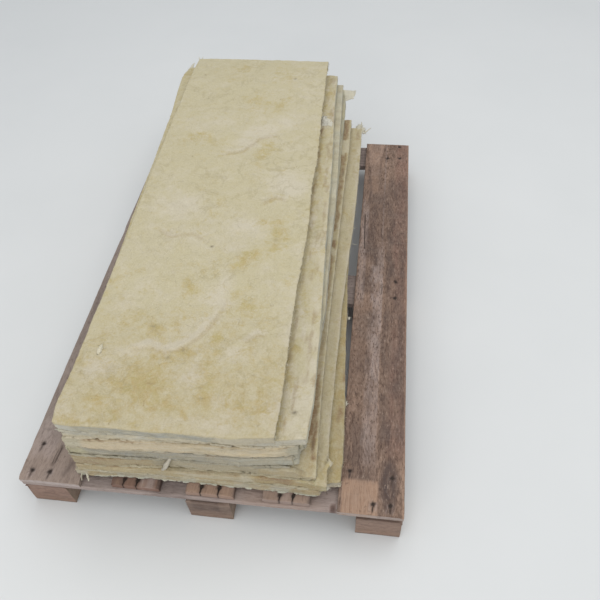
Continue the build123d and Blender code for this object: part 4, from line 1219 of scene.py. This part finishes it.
def board(name, corners, z0, z1, grain, seed, upitch, vpitch, uz=(), vz=(), inset=0.5, nails=(), splits=(),
          layers=(0, .1, .28, .5, .72, .9, 1), bite=(), worn=1.0, paint=None):
    """A sawn board or block from its four plan corners (near left, near right, far right, far left)."""
    a, b, c, d = [np.array(p, float) for p in corners]
    m = (a + b + c + d) / 4
    a, b, c, d = [p + np.sign(m - p) * inset for p in (a, b, c, d)]
    near, right = wander([a, b], seed, 0.35), wander([b, c], seed + 3, 0.45)
    far, left = wander([d, c], seed + 6, 0.35), wander([a, d], seed + 9, 0.45)
    wide, deep = np.linalg.norm(b - a), np.linalg.norm(d - a)
    u = lines(wide, [0.5, 1.2, 2.2], upitch, uz)
    v = lines(deep, [0.5, 1.2, 2.2], vpitch, vz)
    P = coons(near, right, far, left, u, v)
    gx = grain == "x"

    def nick(x, y):
        cut = np.zeros_like(x)
        for cx, cy, ax, ay, dep in bite:
            q = np.hypot((x - cx) / ax, (y - cy) / ay) + 0.22 * vnoise(x / 5.0, y / 5.0, seed=seed + 15)
            cut = np.maximum(cut, dep * step(1.0, 0.45, q))
        return cut

    def ztop(x, y):
        s, t = (y, x) if gx else (x, y)
        wv = s + 2.4 * vnoise(s / 34.0, t / 260.0, seed=seed + 21)
        h = -0.22 + 0.13 * vnoise(wv / 4.1, t / 150.0, seed=seed + 23) + 0.09 * vnoise(wv / 1.9, t / 60.0, seed=seed + 25)
        h += 0.06 * vnoise(s / 30.0, t / 5.5, seed=seed + 27)
        for nx_, ny_ in nails:
            r = np.hypot(x - nx_, y - ny_)
            h = h - 0.75 * np.exp(-(r / 5.2) ** 2)
        for pts, half, deep_ in splits:
            dd, tt = near_line(x, y, pts)
            h = h - deep_ * np.clip(1 - dd / half, 0, 1) * (0.35 + 0.65 * np.clip(np.minimum(tt + 0.1, 1.1 - tt) * 4, 0, 1))
        return z1 + h - nick(x, y)

    def zbot(x, y):
        return np.full(np.shape(x), z0 + 0.15)

    def rim(x, y):
        return np.clip(1.1 * worn + 0.8 * worn * vnoise(x / 16.0, y / 16.0, seed=seed + 31), 0.45, 3.0)

    def wall(x, y, z, t, side, nx, ny):
        s = np.where(np.isin(side, (0, 2)), x, y)
        o = 0.16 * vnoise(s / 60.0, seed + 0.5, z / 2.2 + 0.2, seed=seed + 33) + 0.12 * vnoise(s / 3.2, seed + 0.5, z / 18.0 + 0.2, seed=seed + 35)
        end = (side == 0) | (side == 2)
        if gx:
            end = ~end
        o = np.where(end, o + 0.25 * vnoise(s / 2.4, seed + 0.5, z / 2.4 + 0.2, seed=seed + 37), o)
        for pts, half, deep_ in splits:
            q = np.array(pts[-1], float)
            if abs(q[1] - y.min()) < 6:
                o = np.where(side == 0, o - 1.6 * np.clip(1 - np.abs(x - q[0]) / 1.6, 0, 1) * (1 - t) ** 0.5, o)
        for cx, cy, ax, ay, dep in bite:
            q = np.hypot((x - cx) / ax, (y - cy) / ay)
            o = o - 0.5 * dep * step(1.0, 0.3, q) * (1 - t) ** 2
        return o - 0.15

    co, loops, starts, info = shell(P, ztop, zbot, rim, wall, layers, low_rim=0.8, inset=1.2, coarse=max(12.0, 2.5 * upitch))
    uv = layout(co, loops, starts, info)
    x, y, z = co.T
    mask = np.zeros((len(co), 4))
    for pts, half, deep_ in splits:
        dd, tt = near_line(x, y, pts)
        mask[:, 3] = np.maximum(mask[:, 3], np.clip(1.15 - dd / half, 0, 1) * 0.95)
        mask[:, 1] = np.maximum(mask[:, 1], 0.40 * np.exp(-(dd / (2.8 * half)) ** 2))
    for nx_, ny_ in nails:
        r = np.hypot(x - nx_, (y - ny_)) * (1 + 0.25 * vnoise(np.arctan2(y - ny_, x - nx_) * 1.6, nx_, seed=seed + 18))
        mask[:, 3] = np.maximum(mask[:, 3], 0.97 * np.exp(-(r / 5.0) ** 4))
        mask[:, 1] = np.maximum(mask[:, 1], 0.6 * np.exp(-(r / 6.5) ** 2))
        if ny_ < -500:
            tail = np.exp(-((x - nx_ + 0.1 * (ny_ - y)) / 2.0) ** 2) * step(14.0, 2.0, np.abs(y - ny_ + 8))
            mask[:, 1] = np.maximum(mask[:, 1], 0.9 * tail)
            mask[:, 3] = np.maximum(mask[:, 3], 0.45 * tail)
            halo = np.exp(-((np.abs(x - nx_ + 0.1 * (ny_ - y)) - 6.0) / 2.4) ** 2) * step(15.0, 4.0, np.abs(y - ny_ + 6)) * (abs(nx_) > 300)
            mask[:, 2] = np.maximum(mask[:, 2], 0.55 * halo)
        if abs(nx_) < 200 and ny_ < -500:
            width = 1.2 + 2.7 * step(-585, -577, y) + 0.4 * vnoise(y / 3.0, nx_, seed=seed + 17)
            slot_ = step(width + 1.0, width - 0.7, np.abs(x - nx_ - 0.10 * (y - ny_))) * step(-573, -576, y) * (z > 95 + 2 * vnoise(x / 2.0, 0.5, seed=seed + 19))
            mask[:, 3] = np.maximum(mask[:, 3], slot_ * (0.74 + 0.26 * step(-590, -582, y)) * np.where(info["region"] == 1, 0.75, 1.0))
    face = np.zeros((len(co), 4))
    face[:, 3] = 1
    side = info["side"]
    endg = np.isin(side, (1, 3) if gx else (0, 2)) & (info["region"] == 1)
    face[:, 1] = endg * step(0.0, 0.1, info["depth"])
    dz = np.clip(1 - np.abs(z - z1) / 1.8, 0, 1)
    # the top of every wall is marked for the painted edge highlight
    face[:, 0] = np.where((info["region"] == 1) & (info["depth"] < 0.12), 0.8, 0.0)
    if paint is not None:
        paint(x, y, z, mask, face, info)
    ob = build(name + "_sawn", co, loops, starts, {"mask": np.clip(mask, 0, 1), "face": np.clip(face, 0, 1)}, uv)
    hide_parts(name)
    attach(ob, "root")
    return ob


def rect(x0, x1, y0, y1):
    return [(x0, y0), (x1, y0), (x1, y1), (x0, y1)]


def soft(v, a, b, fade=6.0):
    return step(a - fade, a + fade, v) * step(b + fade, b - fade, v)


def paint_right(x, y, z, mask, face, info):
    wob = 6 * fbm(x / 9.0, y / 26.0, seed=801)
    fresh = soft(x, 274, 346, 3) * step(-528, -533, y + 1.5 * vnoise(x / 6.0, 0.5, seed=803))
    far = soft(x + wob * 0.4, np.interp(y, [350, 440, 600], [296, 290, 272]), np.interp(y, [350, 440, 530, 540, 600], [312, 312, 314, 320, 322]), 3)
    fresh = np.maximum(fresh, 0.55 * far * step(352, 366, y + wob))
    mask[:, 0] = np.maximum(mask[:, 0], fresh)
    mask[:, 0] = np.maximum(mask[:, 0], 0.45 * step(393, 397, x))
    stain = np.hypot((x - 369 + 0.5 * wob) / 21.0, (y + 530 + wob) / 58.0) + 0.12 * vnoise(x / 9.0, y / 14.0, seed=802)
    dark = 1.15 * np.clip(1.25 - stain ** 2, 0, 1)
    dark = np.maximum(dark, 0.40 * soft(x + wob, 352, 398, 8) * soft(y, 60, 420, 60))
    dark = np.maximum(dark, 0.50 * soft(x + wob, 345, 394, 8) * soft(y, -470, 0, 60) * (0.5 + 0.5 * vnoise(x / 12.0, y / 70.0, seed=805)))
    dark = np.maximum(dark, 0.55 * soft(x, 266, 273, 2.5) * step(-300, -420, y))
    dark = np.maximum(dark, 0.40 * soft(x + wob, 284, 345, 6) * soft(y + wob, -532, -494, 5))
    dark = np.maximum(dark, 0.45 * soft(x + wob, 285, 345, 10) * soft(y, 130, 400, 50))
    for cx, cy, ax, ay, v in ((318, 110, 14, 60, .65), (306, 285, 16, 60, .7), (322, 230, 12, 40, .6), (300, 30, 14, 40, .4), (312, -120, 16, 36, .45),
                              (290, -250, 12, 60, .45), (318, -330, 10, 40, .5), (296, -420, 14, 40, .55), (318, -470, 16, 30, .55), (352, 380, 16, 50, .4)):
        dark = np.maximum(dark, v * np.exp(-(((x - cx + 0.6 * wob) / ax) ** 2 + ((y - cy + wob) / ay) ** 2)))
    dark = np.maximum(dark, 0.74 * soft(x, 341, 397, 2.0) * soft(y, -470, 430, 40) * (0.65 + 0.45 * vnoise(x / 11.0, y / 60.0, seed=813)))
    dark = np.maximum(dark, 0.60 * soft(x + wob, 284, 315, 4.0) * step(-0.2, 0.5, vnoise(x / 30.0, y / 75.0, seed=814)) * (y > -500))
    knot = np.hypot((x - 345) / 22.0, (y - 575) / 14.0) + 0.10 * vnoise(x / 7.0, y / 7.0, seed=809)
    dark = np.maximum(dark, 0.55 * np.exp(-((knot - 0.9) / 0.14) ** 2) + 0.45 * np.exp(-(knot / 0.35) ** 2))
    mask[:, 1] = np.maximum(mask[:, 1], dark * (1 - fresh * 0.9))
    pale = 0.45 * soft(x + 0.4 * wob, 306, 339, 4) * soft(y, -500, -90, 24) * (0.6 + 0.5 * vnoise(x / 5.0, y / 60.0, seed=807))
    pale = np.maximum(pale, 0.85 * soft(x + 0.8 * wob, 305, 328, 4) * soft(y + wob, -60, 68, 10) * (0.55 + 0.6 * vnoise(x / 6.0, y / 16.0, seed=808)))
    pale = np.maximum(pale, 0.45 * soft(x, 272, 290, 4) * soft(y, -60, 300, 25))
    pale = np.maximum(pale, 0.45 * np.exp(-((x - 331) / 1.6) ** 2) * (y > 20))
    pale = np.maximum(pale, 0.50 * soft(x, 314, 329.5, 1.6) * soft(y, -220, -20, 20))
    pale = np.maximum(pale, 0.62 * soft(x + 0.25 * wob, 318, 338, 1.6) * soft(y, -480, 130, 30) * (0.75 + 0.35 * vnoise(x / 9.0, y / 50.0, seed=812)))
    pale = np.maximum(pale, 0.45 * np.exp(-((x - 272 - 0.02 * (y - 200)) / 2.6) ** 2) * soft(y, 110, 330, 16))
    pale = np.maximum(pale, 0.35 * far * (y > 440))
    mask[:, 2] = np.maximum(mask[:, 2], np.clip(pale, 0, 1) * (1 - fresh))
    face[:, 2] = 0.85 * step(352, 372, x + 0.5 * wob) * step(-500, -440, y) * (0.6 + 0.4 * vnoise(x / 9.0, y / 90.0, seed=810)) * (info["region"] == 0)


def paint_left(x, y, z, mask, face, info):
    wob = 6 * fbm(x / 9.0, y / 26.0, seed=811)
    mask[:, 0] = np.maximum(mask[:, 0], 0.22 * step(-470, -560, y + wob))
    dd, tt = near_line(x, y, [(-297, -556), (-300, -568), (-306, -582)])
    mask[:, 1] = np.maximum(mask[:, 1], 0.50 * np.exp(-(dd / 5.0) ** 2))
    dd, tt = near_line(x, y, [(-331, -520), (-333, -538), (-336, -562)])
    mask[:, 1] = np.maximum(mask[:, 1], 0.80 * np.exp(-((dd + 1.2 * vnoise(x / 3.0, y / 12.0, seed=815)) / 4.2) ** 2))
    r = np.hypot((x + 378) / 5.0, (y + 490) / 7.0)
    mask[:, 3] = np.maximum(mask[:, 3], 0.95 * np.exp(-((r - 0.55) / 0.35) ** 2) * step(-489, -486, y))
    mask[:, 1] = np.maximum(mask[:, 1], 0.35 * np.exp(-((np.hypot((x + 378) / 11.0, (y + 494) / 13.0) - 1.0) / 0.18) ** 2))
    mask[:, 2] = np.maximum(mask[:, 2], 0.55 * np.exp(-((np.hypot((x + 378) / 11.0, (y + 494) / 13.0) - 0.7) / 0.2) ** 2))
    dark = 0.40 * soft(x + wob, -398, -350, 7) * soft(y, -440, 60, 60) * (0.5 + 0.5 * vnoise(x / 10.0, y / 80.0, seed=813))
    dark = np.maximum(dark, 0.35 * soft(x + wob, -330, -280, 7) * soft(y, 120, 520, 60))
    mask[:, 1] = np.maximum(mask[:, 1], dark)
    mask[:, 2] = np.maximum(mask[:, 2], 0.45 * soft(x + 0.5 * wob, -372, -340, 5) * soft(y, -480, 420, 60))
    mask[:, 2] = np.maximum(mask[:, 2], 0.35 * soft(x + wob, -398, -342, 6) * step(-560, -540, y) * step(-440, -480, y))


def paint_two(x, y, z, mask, face, info):
    mask[:, 1] = np.maximum(mask[:, 1], 0.55 * soft(x, -201, -174, 5) * step(-560, -575, y))
    mask[:, 1] = np.maximum(mask[:, 1], 0.8 * step(-106, -103, x))
    mask[:, 2] = np.maximum(mask[:, 2], 0.6 * soft(x, -140, -110, 5))
    for cx in (-189, -134):
        mask[:, 0] = np.maximum(mask[:, 0], 0.9 * np.exp(-np.hypot((x - cx) / 5.0, (y + 586) / 6.0) ** 2))


def paint_three(x, y, z, mask, face, info):
    mask[:, 0] = np.maximum(mask[:, 0], 0.45 * soft(x, -40, 52, 6) * step(-500, -560, y))
    mask[:, 1] = np.maximum(mask[:, 1], 0.6 * step(54, 57, x))


def paint_four(x, y, z, mask, face, info):
    mask[:, 0] = np.maximum(mask[:, 0], 0.35 * soft(x, 120, 206, 6) * step(-500, -560, y))
    mask[:, 1] = np.maximum(mask[:, 1], 0.6 * step(208, 211, x))
    mask[:, 2] = np.maximum(mask[:, 2], 0.3 * soft(x, 155, 176, 5))


def paint_cross_near(x, y, z, mask, face, info):
    mask[:, 2] = np.maximum(mask[:, 2], np.where(info["region"] == 1, 0.35, 0.2))
    chip = step(1.0, 0.6, np.hypot((x - 259) / 8.0, (y + 589) / 12.0) + 0.2 * vnoise(x / 3.0, y / 3.0, seed=827))
    mask[:, 1] = np.maximum(mask[:, 1], 0.95 * chip)
    face[:, 2] = np.maximum(face[:, 2], chip)
    mask[:, 1] = np.maximum(mask[:, 1], 0.4 * soft(x, -120, -40, 20) * (y < -570))
    mask[:, 0] = np.maximum(mask[:, 0], 0.4 * soft(x, 60, 230, 40))


def paint_cross(x, y, z, mask, face, info):
    mask[:, 1] = np.maximum(mask[:, 1], 0.25)
    mask[:, 2] = np.maximum(mask[:, 2], 0.45 * soft(x, 205, 270, 10))


def paint_block(x, y, z, mask, face, info):
    mask[:, 0] = np.maximum(mask[:, 0], 0.35 * step(34, 16, z + 5 * vnoise(x / 14.0, y / 14.0, seed=821)) * (info["region"] == 1))
    mask[:, 1] = np.maximum(mask[:, 1], 0.25 * step(60, 78, z) + 0.45 * step(7, 1, z))
    if abs(x.mean()) < 10 and y.mean() < -500:
        mask[:, 1] = np.maximum(mask[:, 1], 0.85 * step(26, 46, z + 6 * vnoise(x / 16.0, 0.5, seed=823)) * step(34, 26, np.abs(x + 6) + 4 * vnoise(z / 7.0, 0.5, seed=825)))
        mask[:, 1] = np.maximum(mask[:, 1], 0.4 * (info["region"] == 1))


def groove_zones(splits, axis, origin, extra=()):
    out = []
    for pts, half, deep in splits:
        vals = [p[axis] for p in pts]
        out.append((min(vals) - origin - 3, max(vals) - origin + 3, 0.95))
    return out + list(extra)


W_TIMBER = {
    "deck_board_left": wood("sawn_deck_left", move=(0.13, 0.4, 0.02), light=(0.268, 0.218, 0.192), dim=(0.176, 0.136, 0.118), grey=0.20, saw=0.25,
                            fibre=0.5, ends=(0.420, 0.360, 0.345), size=260),
    "deck_board_2": wood("sawn_deck_2", move=(0.71, 1.4, 0.11), light=(0.215, 0.132, 0.100), dim=(0.125, 0.070, 0.052), grey=0.15,
                         fibre=0.6, ends=(0.190, 0.112, 0.085)),
    "deck_board_3": wood("sawn_deck_3", move=(1.31, 2.1, 0.23), light=(0.285, 0.196, 0.152), dim=(0.176, 0.116, 0.088), grey=0.12,
                         fibre=0.6, ends=(0.285, 0.195, 0.155)),
    "deck_board_4": wood("sawn_deck_4", move=(1.93, 0.9, 0.31), light=(0.290, 0.218, 0.182), dim=(0.178, 0.128, 0.104), grey=0.12,
                         fibre=0.6, ends=(0.290, 0.222, 0.195)),
    "deck_board_right": wood("weathered_deck_right", move=(2.57, 3.3, 0.41), light=(0.250, 0.168, 0.126), dim=(0.138, 0.084, 0.061), grey=0.22, saw=0.5,
                             fibre=0.6, ends=(0.360, 0.300, 0.275), size=330, swirl=0.62, flecks=0.62),
    "cross_board_near": wood("sawn_cross_near", True, (0.3, 0.7, 0.5), (0.322, 0.262, 0.240), (0.200, 0.156, 0.142), 0.15, 0.25, 0.8),
    "cross_board_middle": wood("sawn_cross_middle", True, (1.3, 1.7, 0.7), (0.290, 0.235, 0.215), (0.190, 0.148, 0.132), 0.3, 0.3),
    "cross_board_far": wood("sawn_cross_far", True, (2.3, 2.7, 0.9), (0.290, 0.232, 0.215), (0.190, 0.145, 0.130), 0.3, 0.3),
}

DECK = {
    "deck_board_left": (rect(-400, -267, -600, 598), 2.3, 6.5, 501, paint_left,
                        [(-392, -601, 14.0, 15.0, 5.0), (-268, -600, 7.0, 9.0, 2.5), (-399, 130, 3.0, 40.0, 2.0)]),
    "deck_board_2": (rect(-201, -98, -592, 600), 3.0, 15.0, 521, paint_two, [(-200, -592, 7, 8, 2.5)]),
    "deck_board_3": (rect(-43, 58, -592, 599), 3.0, 15.0, 541, paint_three, [(-30, -592, 10, 5, 1.6), (57, -591, 4, 9, 2.5)]),
    "deck_board_4": (rect(115, 213, -590, 598), 3.0, 15.0, 561, paint_four, [(196, -590, 8, 4, 1.6)]),
    "deck_board_right": (rect(267, 400, -600, 600), 2.2, 6.0, 581, paint_right,
                         [(268, 180, 3.5, 55.0, 2.6), (399, -250, 2.5, 60.0, 2.2), (398, 430, 3.0, 45.0, 2.2), (398, -598, 7, 9, 3.5),
                          (330, -600, 12, 4, 1.4)]),
}

for name, (plan, up, vp, seed, painter, bites) in DECK.items():
    x0, y0 = plan[0]
    sp = SPLITS[name]
    uz = groove_zones(sp, 0, x0)
    vz = [(0, 62, 2.6)] + [(ny - y0 - 7, ny - y0 + 7, 2.2) for nx_, ny in NAILS[name] if abs(x0) > 250 and ny > -530]
    ob = board(name, plan, 94, 110, "y", seed, up, vp, uz, vz, nails=NAILS[name], splits=sp, bite=bites, paint=painter,
               worn=1.2 if name == "deck_board_right" else 1.0)
    ob.data.materials.append(W_TIMBER[name])

CROSS = {
    "cross_board_near": ([(-399, -599), (399, -591), (399, -494), (-399, -502)], 5.0, 6.0, 601, paint_cross_near,
                         [(259, -593, 8, 7, 4.0), (-60, -596, 14, 4, 1.6), (395, -592, 6, 6, 3.0)]),
    "cross_board_middle": ([(-400, -54), (400, -56), (400, 43), (-400, 45)], 8.0, 5.0, 621, paint_cross, [(-399, -50, 5, 7, 2.5)]),
    "cross_board_far": ([(-398, 505), (400, 504), (400, 599), (-398, 600)], 8.0, 5.0, 641, paint_cross, [(399, 596, 6, 6, 2.5)]),
}
for name, (plan, up, vp, seed, painter, bites) in CROSS.items():
    ob = board(name, plan, 78, 94, "x", seed, up, vp, [(0, 14, 2.5)], [(0, 8, 2.6)], bite=bites, paint=painter, inset=0.4)
    ob.data.materials.append(W_TIMBER[name])

BLOCK_X = {"left": -353.0, "centre": 0.0, "right": 353.0}
BLOCK_Y = {"near": -552.0, "middle": -4.0, "far": 552.0}
BITES = {"block_near_left": [(-398, -598, 9, 9, 7.0)], "block_near_right": [(399, -598, 5, 8, 5.0)],
         "block_far_right": [(398, 597, 8, 8, 6.0)], "block_middle_left": [(-399, -50, 6, 6, 4.0)]}
for row, by in BLOCK_Y.items():
    for col, bx in BLOCK_X.items():
        name = "block_%s_%s" % (row, col)
        i = list(BLOCK_Y).index(row) * 3 + list(BLOCK_X).index(col)
        near = row == "near"
        n = 24 if near else 13
        t = np.linspace(0, 1, n) ** 1.0
        rng = np.random.default_rng(60 + i)
        k = rng.uniform(0.94, 1.06, 3)
        ob = board(name, rect(bx - 47, bx + 47, by - 47, by + 47), 0, 78, "x", 661 + 20 * i, 3.4 if near else 6.0,
                   3.4 if near else 6.0, bite=BITES.get(name, ()), layers=tuple(t), worn=1.5, paint=paint_block)
        ob.data.materials.append(wood("sawn_" + name, True, (0.37 * i, 0.53 * i, 0.21 * i),
                                      tuple(float(a * b) for a, b in zip((0.262, 0.178, 0.140), k)),
                                      tuple(float(a * b) for a, b in zip((0.165, 0.108, 0.084), k)), 0.25, 0.3, 0.8))

# ---------------------------------------------------------------------------
# Nails: domed, rusted heads hammered slightly below the boards
# ---------------------------------------------------------------------------


def nail(x, y, top, length, seed):
    rng = np.random.default_rng(seed)
    n = 18
    a = np.linspace(0, 2 * math.pi, n, endpoint=False)
    wob = 1 + 0.05 * np.sin(a * 3 + rng.uniform(0, 6)) + 0.03 * np.sin(a * 5 + rng.uniform(0, 6))
    prof = [(1.2, 0.0), (2.3, -0.06), (3.1, -0.22), (3.55, -0.5), (3.6, -0.9), (3.3, -1.25), (1.9, -1.4), (1.6, -2.0),
            (1.6, -0.5 * length), (1.6, -length + 5), (1.2, -length + 2.2)]
    tilt = rng.normal(0, 0.035, 2)
    co = [np.array([[x, y, top + 0.02]])]
    for r, z in prof:
        px, py = r * wob * np.cos(a), r * wob * np.sin(a)
        k = 1.0 if z > -1.5 else 0.0
        co.append(np.stack([x + px, y + py, np.full(n, top + z) + k * (tilt[0] * px + tilt[1] * py)
                            + (0.07 * rng.normal(0, 1, n) if z > -0.3 else 0)], 1))
    co.append(np.array([[x, y, top - length]]))
    co = np.concatenate(co)
    rings = 1 + np.arange(len(prof) * n).reshape(len(prof), n)
    p, q = rings[:-1], rings[1:]
    quads = np.stack([p, q, np.roll(q, -1, 1), np.roll(p, -1, 1)], -1).reshape(-1, 4)
    last = len(co) - 1
    tris = np.concatenate([np.stack([np.zeros(n, int), rings[0], np.roll(rings[0], -1)], 1),
                           np.stack([np.full(n, last), np.roll(rings[-1], -1), rings[-1]], 1)])
    return co, quads, tris


bits = []
for name, spots_ in NAILS.items():
    for x, y in spots_:
        over = any(abs(x - bx) < 41 and abs(y - by) < 41 for bx in BLOCK_X.values() for by in BLOCK_Y.values())
        bits.append(nail(x, y, 109.35, 54.0 if over else 30.5, 1000 + len(bits)))
nco, nloops, nstarts = join(bits)
heads = build("deck_nails_rusted", nco, nloops, nstarts)
heads.data.materials.append(rusty("rusted_nail_steel"))
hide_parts("deck_nails")
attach(heads, "root")

# ---------------------------------------------------------------------------
# Floor, light and camera
# ---------------------------------------------------------------------------

g = Graph("pale_floor")
fp = g.node("ShaderNodeTexCoord").outputs["Object"]
fc = g.mix(g.noise(fp, 3.0, 3.0), (0.60, 0.61, 0.615), (0.64, 0.645, 0.65))
g.finish(fc, 0.75, g.noise(fp, 300.0, 2.0), 0.0002, 0.3, 0.2)
bm = bpy.data.meshes.new("floor")
S = 30.0
bm.from_pydata([(-S, -S, 0), (S, -S, 0), (S, S, 0), (-S, S, 0)], [], [(0, 1, 2, 3)])
floor = bpy.data.objects.new("floor", bm)
bpy.context.scene.collection.objects.link(floor)
floor.data.materials.append(g.mat)

world = bpy.data.worlds.new("soft_room")
bpy.context.scene.world = world
world.use_nodes = True
bg = world.node_tree.nodes["Background"]
bg.inputs[0].default_value = (0.93, 0.97, 1.0, 1.0)
bg.inputs[1].default_value = 0.72


def lamp(name, place, target, size, power, color):
    li = bpy.data.lights.new(name, "AREA")
    li.shape = "RECTANGLE"
    li.size, li.size_y = size
    li.energy = power
    li.color = color
    ob = bpy.data.objects.new(name, li)
    bpy.context.scene.collection.objects.link(ob)
    ob.matrix_world = Matrix.LocRotScale(Vector(place), (Vector(target) - Vector(place)).to_track_quat("-Z", "Y"), None)
    return ob


lamp("ceiling_light", (0.55, 0.1, 3.4), (0.05, 0.1, 0.1), (3.4, 3.0), 62.0, (1.0, 0.985, 0.95))
lamp("window_fill", (-0.6, -3.3, 1.5), (0.0, -0.2, 0.2), (2.6, 1.6), 38.0, (1.0, 0.97, 0.92))

cp, cy_, cr = 0.8773, -0.1617, -0.0556
fwd = Vector((math.sin(cy_) * math.cos(cp), math.cos(cy_) * math.cos(cp), -math.sin(cp)))
right = Vector((math.cos(cy_), -math.sin(cy_), 0.0))
up = right.cross(fwd)
cxv = math.cos(cr) * right + math.sin(cr) * up
cyv = -math.sin(cr) * right + math.cos(cr) * up
cam = bpy.data.cameras.new("camera")
cam.sensor_width = 36.0
cam.lens = 36.0 * 615.3499 / 600.0
cam.clip_start, cam.clip_end = 0.05, 60.0
camera = bpy.data.objects.new("camera", cam)
bpy.context.scene.collection.objects.link(camera)
camera.matrix_world = Matrix(((cxv.x, cyv.x, -fwd.x, 0.29157), (cxv.y, cyv.y, -fwd.y, -1.05445),
                              (cxv.z, cyv.z, -fwd.z, 1.31383), (0, 0, 0, 1)))
bpy.context.scene.camera = camera
bpy.context.scene.view_settings.view_transform = "Standard"
